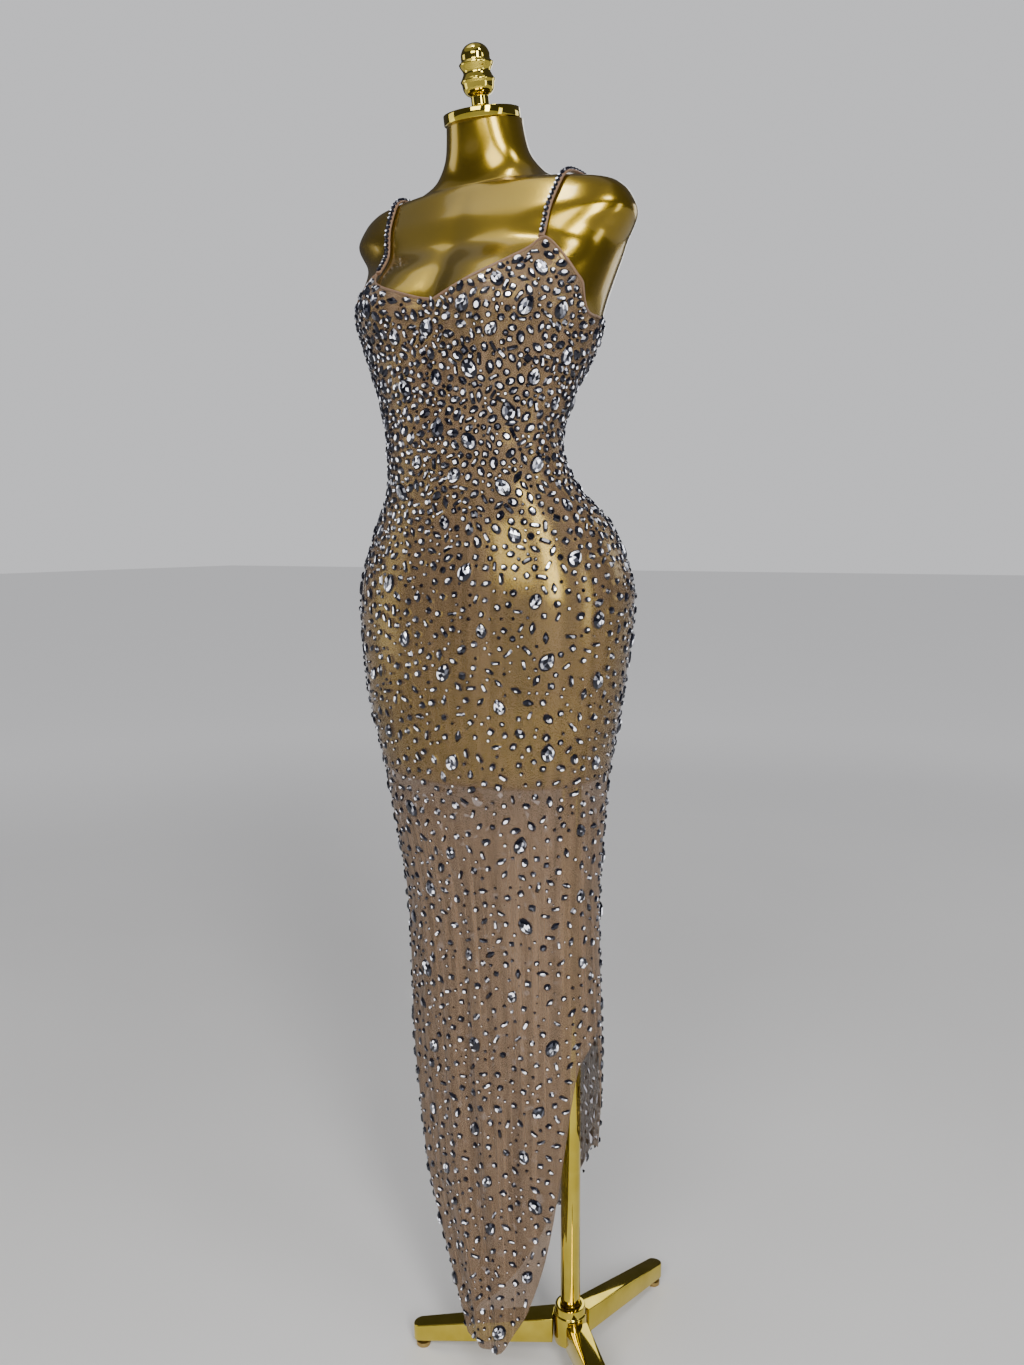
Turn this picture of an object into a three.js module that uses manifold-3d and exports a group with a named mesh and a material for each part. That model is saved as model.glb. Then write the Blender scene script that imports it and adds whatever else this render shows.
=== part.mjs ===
// Bodycon evening gown on a limbless dress form with a three-legged stand.
// Millimetres. +Z is up, the wearer's left is +X and the front faces -Y.
// Angles go round the body from the front: 0 is the front, 90 degrees is the wearer's left side.
import * as THREE from "three";
import { mergeVertices } from "three/addons/utils/BufferGeometryUtils.js";
import Module from "manifold-3d";

const wasm = await Module();
wasm.setup();

const DEG = Math.PI / 180;

// Cloth
const WALL = 1.5;
const CLOTH_GAP = 0.8;
const SEAM_GAP = 0.3;
const SLIT_TOP = 487;
const FRONT_COLUMNS = 24;
const BACK_COLUMNS = 18;

// Outside of the gown, and of the form where it is bare, cut level by level.
// height, centre x, centre y, half width, front depth, back depth, squareness
const SECTIONS = [
  [40, 30, -24, 46, 32, 32, 2.1],
  [120, 20, 5, 79, 51, 51, 2.1],
  [200, 8, 28, 107, 66, 66, 2.1],
  [280, 0, 35, 119, 74, 74, 2.2],
  [450, 0, 29, 130, 80, 80, 2.2],
  [620, 0, 21, 128, 85, 89, 2.2],
  [800, 0, 7, 142, 106, 111, 2.2],
  [920, 0, 1, 163, 119, 133, 2.2],
  [1020, 0, 2, 172, 117, 146, 2.2],
  [1100, 0, 3, 150, 107, 116, 2.2],
  [1160, 0, -24, 112, 85, 85, 2.2],
  [1200, 0, -37, 105, 79, 77, 2.2],
  [1250, 0, -32, 116, 87, 83, 2.2],
  [1300, 0, -21, 137, 102, 94, 2.2],
  [1345, 0, -17, 151, 116, 98, 2.2],
  [1380, 0, -6, 160, 108, 100, 2.2],
  [1415, 0, 6, 168, 88, 92, 2.2],
  [1445, 0, 3, 181, 68, 82, 2.2],
  [1463, 0, 4, 174, 58, 73, 2.2],
  [1477, 0, 5, 159, 51, 65, 2.2],
  [1484, 0, 6, 132, 48, 60, 2.1],
  [1487, 0, 7, 103, 47, 57, 2.1],
  [1503, 0, 5, 68, 44, 51, 2.0],
  [1530, 0, -2, 49, 42, 46, 2.0],
  [1572, 0, -10, 42, 42, 42, 2.0],
];

// Each cup is a rounded rise in the front, and the form has a soft hollow between the two.
const CUP = { angle: 30 * DEG, height: 1348, halfAngle: 21 * DEG, halfHeight: 44, rise: 13 };
const ARMHOLE_EASE = { height: 1384, halfHeight: 42, depth: 2.6 };
const HOLLOW = { halfAngle: 11 * DEG, halfHeight: 62, depth: 7 };

// Soft vertical folds of the skirt below the hips.
const FOLDS = { count: 9, turn: 12 * DEG, start: 800, full: 250, depth: 2.6 };

// The neckline sits turned a little to the wearer's left, and higher on that side.
const NECKLINE_TURN = 6;
const NECKLINE_LEAN = 14;
// angle from the neckline's middle in degrees, height
const FRONT_TOP = [
  [0, 1343],
  [8, 1348],
  [20, 1359],
  [35, 1374],
  [44, 1387],
  [47, 1397],
  [52, 1397],
  [55.5, 1384],
  [59, 1368],
  [65, 1353],
  [75, 1339],
  [90, 1330],
];
const BACK_TOP = [
  [90, 1330],
  [102, 1333],
  [118, 1347],
  [129, 1364],
  [133, 1364],
  [142, 1342],
  [156, 1314],
  [180, 1298],
];

// Free edge of the front panel below the slit's top, down to the hem's tip.
// height, angle in degrees
const FRONT_SLIT = [
  [62, 0],
  [66, 12],
  [74, 23],
  [92, 35],
  [116, 45],
  [151, 52],
  [197, 58],
  [250, 63],
  [327, 67.5],
  [400, 71.5],
  [450, 76],
  [SLIT_TOP, 90],
];
const BACK_SLIT = [
  [300, 99],
  [400, 94],
  [SLIT_TOP, 90],
];
const FRONT_HEM = 64;
// angle in degrees, height
const BACK_HEM = [
  [90, 316],
  [110, 300],
  [126, 262],
  [145, 205],
  [180, 135],
  [215, 92],
  [270, 64],
];

// Levels shared by the gown and the form.
const LEVELS = [
  1300, 1280, 1260, 1240, 1220, 1200, 1180, 1160, 1140, 1118, 1092, 1062, 1030, 996, 960, 922, 880, 836,
  790, 740, 690, 640, 590, 540, 500,
];
const BACK_FIRST_LEVEL = 1260;
const TOP_ROWS = 7;
const LOW_ROWS = 8;

// Large stones, raised on the outside of the cloth
const STONE = { halfWidth: 8, halfLength: 11.5, rise: 4, sink: 0.9, table: 0.55, margin: 16 };
const SPACING = { high: 58, low: 98, highFrom: 1280, lowFrom: 1040 };
const STEP_ACROSS = 0.754878;
const STEP_DOWN = 0.56984;
const STONE_TRIES = 700;

// Straps
const STRAP = { halfWidth: 4.2, halfThickness: 2, gap: 1.4, sides: 6, steps: 20 };
const STRAP_TOP_X = 112;
const SHOULDER = { y: 4, z: 1400, reach: 160 };

// Form
const FORM_FLOOR = 808;
const FORM_EDGE = 7;
const FORM_UPPER_LEVELS = [
  1318, 1336, 1354, 1372, 1390, 1408, 1426, 1443, 1456, 1467, 1475, 1480, 1483, 1486, 1490, 1497, 1508, 1525,
];

// Neck cap and finial, on a neck that leans forward
const NECK_LEAN = 12.5 * DEG;
const NECK_TOP = new THREE.Vector3(0, -12, 1559);
const CAP = { radius: 43.5, height: 11, edge: 1.2 };
// radius, height above the cap
const FINIAL_OUTLINE = [
  [0, 0],
  [12.5, 0],
  [12.5, 4],
  [10, 6.5],
  [10, 15],
  [14.5, 18],
  [17.5, 23],
  [18.3, 28],
  [19.5, 31],
  [18, 33.5],
  [15.5, 39.5],
  [19.3, 48],
  [16.3, 51.5],
  [16.3, 56],
  [14.5, 61.5],
  [10.5, 66],
  [5.5, 68.3],
  [0, 69],
];

// Stand
const POLE = { x: 84, y: 49, radius: 12.8, low: 46, socket: 60, play: 0.3 };
const HUB = { radius: 18.3, low: 38, high: 76, ringRadius: 16.6, ringHigh: 86, floor: 44 };
const LEG = { reach: 215, hubHalf: 15, tipHalf: 10, hubHigh: 72, hubLow: 38, tipHigh: 31, tipLow: 9, wall: 2.5 };
const LEG_TURNS = [199.6, 319.6, 79.6];
const PAD = { radius: 9.5, height: 6, stemRadius: 4, from: 202 };

// Materials
function finish(color, roughness, metalness) {
  return new THREE.MeshStandardMaterial({ color, roughness, metalness });
}
const MESH_CLOTH = finish(0xa78a72, 0.7, 0.0);
const STRAP_CLOTH = finish(0xb89a82, 0.6, 0.0);
const GOLD_PAINT = finish(0xa9822f, 0.3, 0.6);
const POLISHED_GOLD = finish(0xd8b04a, 0.15, 1.0);

// A smooth curve through one column of a table, with no overshoot between its rows.
function curve(rows, column) {
  const x = rows.map((row) => row[0]);
  const y = rows.map((row) => row[column]);
  const last = x.length - 1;
  const rise = x.slice(1).map((value, i) => (y[i + 1] - y[i]) / (value - x[i]));
  const slope = x.map((_, i) => {
    const before = rise[Math.max(i - 1, 0)];
    const after = rise[Math.min(i, last - 1)];
    return before * after > 0 ? (2 * before * after) / (before + after) : 0;
  });
  return (at) => {
    const t = Math.min(Math.max(at, x[0]), x[last]);
    let i = 0;
    while (i < last - 1 && t > x[i + 1]) i += 1;
    const h = x[i + 1] - x[i];
    const s = (t - x[i]) / h;
    const bend = s * s * (3 - 2 * s);
    const ease = s * (1 - s);
    return y[i] + (y[i + 1] - y[i]) * bend + h * ease * (slope[i] * (1 - s) - slope[i + 1] * s);
  };
}

const centreX = curve(SECTIONS, 1);
const centreY = curve(SECTIONS, 2);
const halfWidth = curve(SECTIONS, 3);
const frontDepth = curve(SECTIONS, 4);
const backDepth = curve(SECTIONS, 5);
const squareness = curve(SECTIONS, 6);
const frontTopCurve = curve(FRONT_TOP, 1);
const backTopCurve = curve(BACK_TOP, 1);
const frontSlit = curve(FRONT_SLIT, 1);
const backSlit = curve(BACK_SLIT, 1);
const backHem = curve(BACK_HEM, 1);

function bell(value, half) {
  return Math.exp(-((value / half) ** 2));
}

function turnTo180(angle) {
  return Math.atan2(Math.sin(angle), Math.cos(angle));
}

function cupRise(angle, z) {
  const turned = turnTo180(angle);
  const across = bell(turned - CUP.angle, CUP.halfAngle) + bell(turned + CUP.angle, CUP.halfAngle);
  return CUP.rise * across * bell(z - CUP.height, CUP.halfHeight);
}

function foldRise(angle, z) {
  const grown = THREE.MathUtils.smoothstep(FOLDS.start - z, 0, FOLDS.start - FOLDS.full);
  return FOLDS.depth * grown * Math.cos(FOLDS.count * (angle - FOLDS.turn));
}

function skinRadius(angle, z) {
  const depth = Math.cos(angle) > 0 ? frontDepth(z) : backDepth(z);
  const power = squareness(z);
  const side = Math.abs(Math.sin(angle) / halfWidth(z)) ** power;
  const front = Math.abs(Math.cos(angle) / depth) ** power;
  return (side + front) ** (-1 / power) + cupRise(angle, z) + foldRise(angle, z);
}

// A point on the gown's outside, moved out by some distance.
function skin(angle, z, out = 0) {
  const radius = skinRadius(angle, z) + out;
  return new THREE.Vector3(centreX(z) + radius * Math.sin(angle), centreY(z) - radius * Math.cos(angle), z);
}

// A point on the form, which is slimmer where the gown covers it.
function formInset(angle, z) {
  const covered = 1 - THREE.MathUtils.smoothstep(z, 1412, 1450);
  const hollow = HOLLOW.depth * bell(turnTo180(angle), HOLLOW.halfAngle) * bell(z - CUP.height, HOLLOW.halfHeight);
  const clear = ARMHOLE_EASE.depth * bell(z - ARMHOLE_EASE.height, ARMHOLE_EASE.halfHeight);
  return (WALL + CLOTH_GAP) * covered + hollow + clear;
}

function formPoint(angle, z, inward = 0) {
  return skin(angle, z, -formInset(angle, z) - inward);
}

// Geometry helpers
function geometryFrom(points, faces) {
  const geometry = new THREE.BufferGeometry();
  geometry.setAttribute("position", new THREE.Float32BufferAttribute(points.flatMap((p) => p.toArray()), 3));
  geometry.setIndex(faces.flat());
  return geometry;
}

function average(points) {
  return points.reduce((sum, p) => sum.add(p), new THREE.Vector3()).divideScalar(points.length);
}

// Rings of points joined one above the next, closed at both ends.
function loft(rings, foot = average(rings[0])) {
  const count = rings[0].length;
  const points = rings.flat();
  const faces = [];
  for (let row = 0; row < rings.length - 1; row += 1) {
    for (let i = 0; i < count; i += 1) {
      const next = (i + 1) % count;
      const a = row * count + i;
      const b = row * count + next;
      faces.push([a, b, b + count], [a, b + count, a + count]);
    }
  }
  const top = (rings.length - 1) * count;
  const footMiddle = points.length;
  points.push(foot, average(rings.at(-1)));
  for (let i = 0; i < count; i += 1) {
    const next = (i + 1) % count;
    faces.push([footMiddle, next, i], [footMiddle + 1, top + i, top + next]);
  }
  return geometryFrom(points, faces);
}

// A wall between an outer and an inner grid of points, closed round its four edges.
function wallBetween(outer, inner) {
  const rows = outer.length;
  const columns = outer[0].length;
  const points = [...outer.flat(), ...inner.flat()];
  const shift = rows * columns;
  const faces = [];
  for (let r = 0; r < rows - 1; r += 1) {
    for (let c = 0; c < columns - 1; c += 1) {
      const a = r * columns + c;
      const b = a + columns;
      const falling = points[a].distanceTo(points[b + 1]) < points[b].distanceTo(points[a + 1]);
      const halves = falling ? [[a, b, b + 1], [a, b + 1, a + 1]] : [[a, b, a + 1], [b, b + 1, a + 1]];
      for (const [i, j, k] of halves) faces.push([i, j, k], [i + shift, k + shift, j + shift]);
    }
  }
  const rim = [];
  for (let c = 0; c < columns - 1; c += 1) rim.push(c);
  for (let r = 0; r < rows - 1; r += 1) rim.push(r * columns + columns - 1);
  for (let c = columns - 1; c > 0; c -= 1) rim.push((rows - 1) * columns + c);
  for (let r = rows - 1; r > 0; r -= 1) rim.push(r * columns);
  rim.forEach((a, i) => {
    const b = rim[(i + 1) % rim.length];
    faces.push([a, b, b + shift], [a, b + shift, a + shift]);
  });
  return geometryFrom(points, faces);
}

function solidFrom(geometry) {
  const bare = geometry.clone();
  bare.deleteAttribute("normal");
  bare.deleteAttribute("uv");
  const merged = mergeVertices(bare, 1e-4);
  const vertProperties = Float32Array.from(merged.attributes.position.array);
  const triVerts = Uint32Array.from(merged.index.array);
  return new wasm.Manifold(new wasm.Mesh({ numProp: 3, vertProperties, triVerts }));
}

// The cloth itself, with no pocket of air left shut under a stone.
function largestBody(solid) {
  return solid.decompose().reduce((best, body) => (body.volume() > best.volume() ? body : best));
}

function geometryOf(solid) {
  const mesh = solid.getMesh();
  const geometry = new THREE.BufferGeometry();
  const position = new Float32Array(mesh.numVert * 3);
  for (let i = 0; i < mesh.numVert; i += 1) {
    for (let k = 0; k < 3; k += 1) position[3 * i + k] = mesh.vertProperties[mesh.numProp * i + k];
  }
  geometry.setAttribute("position", new THREE.BufferAttribute(position, 3));
  geometry.setIndex(Array.from(mesh.triVerts));
  return geometry;
}

function meshOf(name, geometry, material) {
  geometry.deleteAttribute("normal");
  geometry.computeVertexNormals();
  const mesh = new THREE.Mesh(geometry, material);
  mesh.name = name;
  return mesh;
}

// Outlines of the two panels. The neckline's curves are even about its own middle.
function neckHeight(degrees, table) {
  const turned = turnTo180((degrees - NECKLINE_TURN) * DEG) / DEG;
  const side = THREE.MathUtils.smoothstep(Math.abs(Math.sin(degrees * DEG)), 0.96, 1);
  const level = table(Math.abs(turned)) * (1 - side) + FRONT_TOP.at(-1)[1] * side;
  return level + NECKLINE_LEAN * Math.sin(degrees * DEG) * (1 - side * 0.5);
}

const frontPanel = {
  columns: FRONT_COLUMNS,
  firstLevel: LEVELS[0],
  start: () => -90,
  end: (z) => (z < SLIT_TOP ? frontSlit(z) : 90),
  top: (degrees) => neckHeight(degrees, frontTopCurve),
  low: () => FRONT_HEM,
};
const backPanel = {
  columns: BACK_COLUMNS,
  firstLevel: BACK_FIRST_LEVEL,
  start: (z) => (z < SLIT_TOP ? backSlit(z) : 90),
  end: () => 270,
  top: (degrees) => neckHeight(degrees, backTopCurve),
  low: (degrees) => backHem(degrees),
};

// Heights down one column: some rows to the first shared level, the shared levels, then the rows to the hem.
function columnHeights(panel, degrees) {
  const top = panel.top(degrees);
  const low = panel.low(degrees);
  const shared = LEVELS.filter((z) => z <= panel.firstLevel);
  const heights = [];
  for (let i = 0; i < TOP_ROWS; i += 1) {
    heights.push(THREE.MathUtils.lerp(top, shared[0], i / TOP_ROWS));
  }
  heights.push(...shared);
  for (let i = 1; i <= LOW_ROWS; i += 1) {
    heights.push(THREE.MathUtils.lerp(shared.at(-1), low, i / LOW_ROWS));
  }
  return heights;
}

function panelGrid(panel, out) {
  const across = Array.from({ length: panel.columns + 1 }, (_, c) => c / panel.columns);
  const columns = across.map((part) => {
    const full = THREE.MathUtils.lerp(panel.start(SLIT_TOP), panel.end(SLIT_TOP), part);
    return columnHeights(panel, full).map((z) => {
      const edge = (SEAM_GAP / 2 / skinRadius(90 * DEG, z)) * (1 - 2 * part);
      const degrees = THREE.MathUtils.lerp(panel.start(z), panel.end(z), part);
      return skin(degrees * DEG + edge, z, out);
    });
  });
  return columns[0].map((_, row) => columns.map((column) => column[row]));
}

// Places of the large stones: evenly scattered, closer together on the bodice.
function stoneSpacing(z) {
  const high = THREE.MathUtils.smoothstep(z, SPACING.lowFrom, SPACING.highFrom);
  return THREE.MathUtils.lerp(SPACING.low, SPACING.high, high);
}

function insidePanel(panel, degrees, z) {
  const margin = STONE.margin;
  const side = margin / skinRadius(degrees * DEG, z) / DEG;
  const reach = [degrees - side, degrees, degrees + side];
  const wide = degrees - side > panel.start(z) && degrees + side < panel.end(z);
  return wide && reach.every((at) => z < panel.top(at) - margin && z > panel.low(at) + margin);
}

function stonePlaces(panel) {
  const start = panel.start(SLIT_TOP);
  const end = panel.end(SLIT_TOP);
  const places = [];
  for (let k = 1; k <= STONE_TRIES; k += 1) {
    const degrees = THREE.MathUtils.lerp(start, end, (k * STEP_ACROSS) % 1);
    const z = THREE.MathUtils.lerp(LEVELS[0] + 100, FRONT_HEM, (k * STEP_DOWN) % 1);
    const radius = skinRadius(degrees * DEG, z);
    const free = places.every((p) => {
      const apart = Math.hypot((degrees - p.degrees) * DEG * radius, z - p.z);
      return apart > stoneSpacing(z);
    });
    if (free && insidePanel(panel, degrees, z)) places.push({ degrees, z, turn: k * 1.7 });
  }
  return places;
}

// The point of a wall's outside that lies straight in front of a place on the skin.
function outsidePoint(wall, angle, z) {
  const inward = new THREE.Vector3(-Math.sin(angle), Math.cos(angle), 0);
  const caster = new THREE.Raycaster(skin(angle, z, 20), inward);
  return caster.intersectObject(wall)[0].point;
}

// A pear-shaped stone with a flat table, its foot sunk in the wall.
function stoneSolid(wall, place) {
  const radius = skinRadius(place.degrees * DEG, place.z);
  const onWall = (x, y, out) => {
    const along = x * Math.cos(place.turn) - y * Math.sin(place.turn);
    const up = x * Math.sin(place.turn) + y * Math.cos(place.turn);
    const angle = place.degrees * DEG + along / radius;
    const point = outsidePoint(wall, angle, place.z + up);
    return point.add(new THREE.Vector3(Math.sin(angle), -Math.cos(angle), 0).multiplyScalar(out));
  };
  const ring = (scale, out) =>
    [30, 90, 150, 210, 270, 330].map((step) => {
      const taper = 1 - 0.25 * Math.sin(step * DEG);
      const x = STONE.halfWidth * taper * Math.cos(step * DEG) * scale;
      return onWall(x, STONE.halfLength * Math.sin(step * DEG) * scale, out);
    });
  const foot = onWall(0, 0, -STONE.sink);
  return solidFrom(loft([ring(1, -STONE.sink), ring(STONE.table, STONE.rise)], foot));
}

function gownPanel(name, panel) {
  const geometry = wallBetween(panelGrid(panel, 0), panelGrid(panel, -WALL));
  const wall = new THREE.Mesh(geometry);
  const stones = stonePlaces(panel).map((place) => stoneSolid(wall, place));
  const whole = stones.reduce((solid, stone) => solid.add(stone), solidFrom(geometry));
  return meshOf(name, geometryOf(largestBody(whole)), MESH_CLOTH);
}

// Form
function formRings() {
  const front = Array.from({ length: FRONT_COLUMNS }, (_, i) => -90 + (180 * i) / FRONT_COLUMNS);
  const back = Array.from({ length: BACK_COLUMNS }, (_, i) => 90 + (180 * i) / BACK_COLUMNS);
  const angles = [...front, ...back].map((degrees) => degrees * DEG);
  const low = LEVELS.filter((z) => z > FORM_FLOOR + FORM_EDGE).reverse();
  const rings = [angles.map((angle) => formPoint(angle, FORM_FLOOR, FORM_EDGE))];
  rings.push(angles.map((angle) => formPoint(angle, FORM_FLOOR + FORM_EDGE)));
  for (const z of [...low, ...FORM_UPPER_LEVELS]) rings.push(angles.map((angle) => formPoint(angle, z)));
  const slope = Math.tan(NECK_LEAN);
  rings.push(
    angles.map((angle) => {
      const point = formPoint(angle, NECK_TOP.z);
      point.z = NECK_TOP.z - 1 + slope * (point.y - NECK_TOP.y);
      return point;
    }),
  );
  return rings;
}

function dressForm() {
  const { x, y, radius, socket, play } = POLE;
  const hole = new THREE.CylinderGeometry(radius + play, radius + play, socket + 20, 24);
  hole.rotateX(Math.PI / 2);
  hole.translate(x, y, FORM_FLOOR + socket + play - (socket + 20) / 2);
  const whole = solidFrom(loft(formRings())).subtract(solidFrom(hole));
  return meshOf("dress_form", geometryOf(whole), GOLD_PAINT);
}

// A turned piece about +Z.
function turned(name, outline, segments, material) {
  const points = outline.map(([radius, height]) => new THREE.Vector2(radius, height));
  const geometry = new THREE.LatheGeometry(points, segments);
  geometry.rotateX(Math.PI / 2);
  geometry.deleteAttribute("uv");
  geometry.deleteAttribute("normal");
  return meshOf(name, mergeVertices(geometry, 1e-3), material);
}

function neckPieces() {
  const group = new THREE.Group();
  group.position.copy(NECK_TOP);
  group.rotation.x = NECK_LEAN;
  const { radius, height, edge } = CAP;
  const outline = [[0, 0], [radius, 0], [radius, height - edge], [radius - edge, height], [0, height]];
  const finial = turned("finial", FINIAL_OUTLINE, 16, POLISHED_GOLD);
  finial.position.z = height + SEAM_GAP;
  group.add(turned("neck_cap", outline, 28, POLISHED_GOLD), finial);
  return group;
}

// Straps run over the shoulder, a little above the form.
function outOfForm(point) {
  const dx = point.x - centreX(point.z);
  const dy = point.y - centreY(point.z);
  const angle = Math.atan2(dx, -dy);
  return Math.hypot(dx, dy) > skinRadius(angle, point.z) - formInset(angle, point.z);
}

function shoulderPoint(x, pitch) {
  const { y, z } = SHOULDER;
  const at = (reach) => new THREE.Vector3(x, y - reach * Math.cos(pitch), z + reach * Math.sin(pitch));
  let low = 0;
  let high = SHOULDER.reach;
  for (let i = 0; i < 40; i += 1) {
    const middle = (low + high) / 2;
    if (outOfForm(at(middle))) high = middle;
    else low = middle;
  }
  return at(low);
}

// Turn of a point about the shoulder's middle, from the front up and over to the back.
function pitchOf(point) {
  const pitch = Math.atan2(point.z - SHOULDER.z, SHOULDER.y - point.y);
  return pitch < -Math.PI / 2 ? pitch + 2 * Math.PI : pitch;
}

function strap(name, frontDegrees, backDegrees) {
  const front = formPoint(frontDegrees * DEG, frontPanel.top(frontDegrees) + 2);
  const back = formPoint(backDegrees * DEG, backPanel.top(backDegrees) + 2);
  const steps = STRAP.steps;
  const path = [];
  for (let i = 0; i <= steps; i += 1) {
    const part = i / steps;
    const bow = Math.sin(part * Math.PI);
    const x = THREE.MathUtils.lerp(front.x, back.x, part);
    const topX = Math.sign(front.x) * STRAP_TOP_X;
    const pitch = THREE.MathUtils.lerp(pitchOf(front), pitchOf(back), part);
    path.push(shoulderPoint(THREE.MathUtils.lerp(x, topX, bow), pitch));
  }
  const rings = path.map((point, i) => {
    const along = path[Math.min(i + 1, steps)].clone().sub(path[Math.max(i - 1, 0)]).normalize();
    const across = new THREE.Vector3(1, 0, 0).addScaledVector(along, -along.x).normalize();
    const away = new THREE.Vector3().crossVectors(across, along).normalize();
    const centre = point.clone().addScaledVector(away, STRAP.halfThickness + STRAP.gap);
    return Array.from({ length: STRAP.sides }, (_, k) => {
      const turn = (-(k + 0.5) / STRAP.sides) * 2 * Math.PI;
      return centre
        .clone()
        .addScaledVector(across, STRAP.halfWidth * Math.cos(turn))
        .addScaledVector(away, STRAP.halfThickness * Math.sin(turn));
    });
  });
  return meshOf(name, loft(rings), STRAP_CLOTH);
}

// Stand
function pole() {
  const { radius, low, socket } = POLE;
  const top = FORM_FLOOR + socket;
  const outline = [[0, low], [radius, low], [radius, top], [0, top]];
  const piece = turned("pole", outline, 24, POLISHED_GOLD);
  piece.position.set(POLE.x, POLE.y, 0);
  return piece;
}

function hub() {
  const bore = POLE.radius + POLE.play;
  const { radius, low, high, ringRadius, ringHigh, floor } = HUB;
  const outline = [
    [0, low],
    [radius, low],
    [radius, high],
    [ringRadius, high + 1],
    [ringRadius, ringHigh],
    [bore, ringHigh],
    [bore, floor],
    [0, floor],
  ];
  const piece = turned("hub", outline, 24, POLISHED_GOLD);
  piece.position.set(POLE.x, POLE.y, 0);
  return piece;
}

// A block over a plan outline, with a sloping top and underside.
function block(outline, low, high) {
  const top = outline.map(([x, y]) => new THREE.Vector3(x, y, high(x)));
  const bottom = outline.map(([x, y]) => new THREE.Vector3(x, y, low(x)));
  return loft([bottom, top]);
}

function legOutline(inset, near) {
  const outline = [];
  const tip = LEG.tipHalf - inset;
  for (let i = 0; i <= 6; i += 1) {
    const turn = (i / 6 - 0.5) * Math.PI;
    outline.push([LEG.reach - LEG.tipHalf + tip * Math.cos(turn), tip * Math.sin(turn)]);
  }
  outline.push([near, LEG.hubHalf - inset], [near, -(LEG.hubHalf - inset)]);
  return outline;
}

function alongLeg(x, atHub, atTip) {
  return THREE.MathUtils.lerp(atHub, atTip, (x - HUB.radius) / (LEG.reach - HUB.radius));
}

function legTop(x) {
  return alongLeg(x, LEG.hubHigh, LEG.tipHigh);
}

function legUnderside(x) {
  return alongLeg(x, LEG.hubLow, LEG.tipLow);
}

function leg(index) {
  const near = HUB.radius + SEAM_GAP;
  const outer = solidFrom(block(legOutline(0, near), legUnderside, legTop));
  const below = (x) => legUnderside(x) - 5;
  const inner = solidFrom(block(legOutline(LEG.wall, near + LEG.wall), below, (x) => legTop(x) - LEG.wall));
  return meshOf(`leg_${index}`, geometryOf(outer.subtract(inner)), POLISHED_GOLD);
}

function pad(index) {
  const top = legTop(PAD.from) - LEG.wall - 1.3;
  const { radius, height, stemRadius } = PAD;
  const outline = [
    [0, 0],
    [radius, 0],
    [radius, height - 1],
    [radius - 1, height],
    [stemRadius, height],
    [stemRadius, top],
    [0, top],
  ];
  const piece = turned(`pad_${index}`, outline, 16, POLISHED_GOLD);
  piece.position.x = PAD.from;
  return piece;
}

function stand() {
  const group = new THREE.Group();
  group.add(pole(), hub());
  LEG_TURNS.forEach((degrees, i) => {
    const arm = new THREE.Group();
    arm.position.set(POLE.x, POLE.y, 0);
    arm.rotation.z = degrees * DEG;
    arm.add(leg(i + 1), pad(i + 1));
    group.add(arm);
  });
  return group;
}

const gown = new THREE.Group();
gown.add(gownPanel("gown_front", frontPanel), gownPanel("gown_back", backPanel));
gown.add(strap("strap_left", 50 + NECKLINE_TURN, 131 + NECKLINE_TURN));
gown.add(strap("strap_right", -50 + NECKLINE_TURN, -131 + NECKLINE_TURN));
gown.add(dressForm(), neckPieces(), stand());

// The origin is the middle of the whole, at the floor.
gown.updateMatrixWorld(true);
const box = new THREE.Box3().setFromObject(gown, true);
const middle = box.getCenter(new THREE.Vector3());
gown.position.set(-middle.x, -middle.y, -box.min.z);

export default gown;
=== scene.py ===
# %% [markdown]
# Bodycon evening gown on a gold dress form.
# The gown is a sheer stretch mesh set all over with cut stones. It is worn by a limbless
# form on a three-legged stand. The solid model is loaded first, and every fine piece below
# is made round it, in metres, in the same frame.

# %% Load the solid model
import math
import random

import bpy
import numpy as np
from mathutils import Matrix, Vector


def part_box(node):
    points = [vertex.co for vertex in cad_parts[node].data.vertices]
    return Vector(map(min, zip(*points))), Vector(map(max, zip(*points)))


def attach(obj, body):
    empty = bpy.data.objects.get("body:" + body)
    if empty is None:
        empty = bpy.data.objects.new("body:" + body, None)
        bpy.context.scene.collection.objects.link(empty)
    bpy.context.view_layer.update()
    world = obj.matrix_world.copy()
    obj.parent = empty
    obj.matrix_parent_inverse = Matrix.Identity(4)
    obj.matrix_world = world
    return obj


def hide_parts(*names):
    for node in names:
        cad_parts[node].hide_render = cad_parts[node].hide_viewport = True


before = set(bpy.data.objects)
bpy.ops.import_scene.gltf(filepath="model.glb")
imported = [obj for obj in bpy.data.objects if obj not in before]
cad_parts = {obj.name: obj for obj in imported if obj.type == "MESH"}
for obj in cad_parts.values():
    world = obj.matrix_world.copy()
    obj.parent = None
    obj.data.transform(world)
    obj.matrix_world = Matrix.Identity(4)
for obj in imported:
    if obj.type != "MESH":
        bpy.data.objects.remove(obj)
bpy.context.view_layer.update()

# %% [markdown]
# The gown and the form are drawn in millimetres about the middle of the body, and the pole
# of the stand has a known place there. The pole of the solid model then tells how far the
# body's middle lies from the model's origin.

# %% Millimetres of the body to metres of the model
POLE = {"x": 84.0, "y": 49.0, "radius": 12.8}
pole_low, pole_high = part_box("pole")
ORIGIN_X = (pole_low[0] + pole_high[0]) / 2 - POLE["x"] / 1000
ORIGIN_Y = (pole_low[1] + pole_high[1]) / 2 - POLE["y"] / 1000


def metres(points):
    """Body points in millimetres, as points of the model in metres."""
    return np.asarray(points, float) / 1000 + np.array([ORIGIN_X, ORIGIN_Y, 0.0])


print("body's middle at", round(ORIGIN_X, 5), round(ORIGIN_Y, 5))

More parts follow.
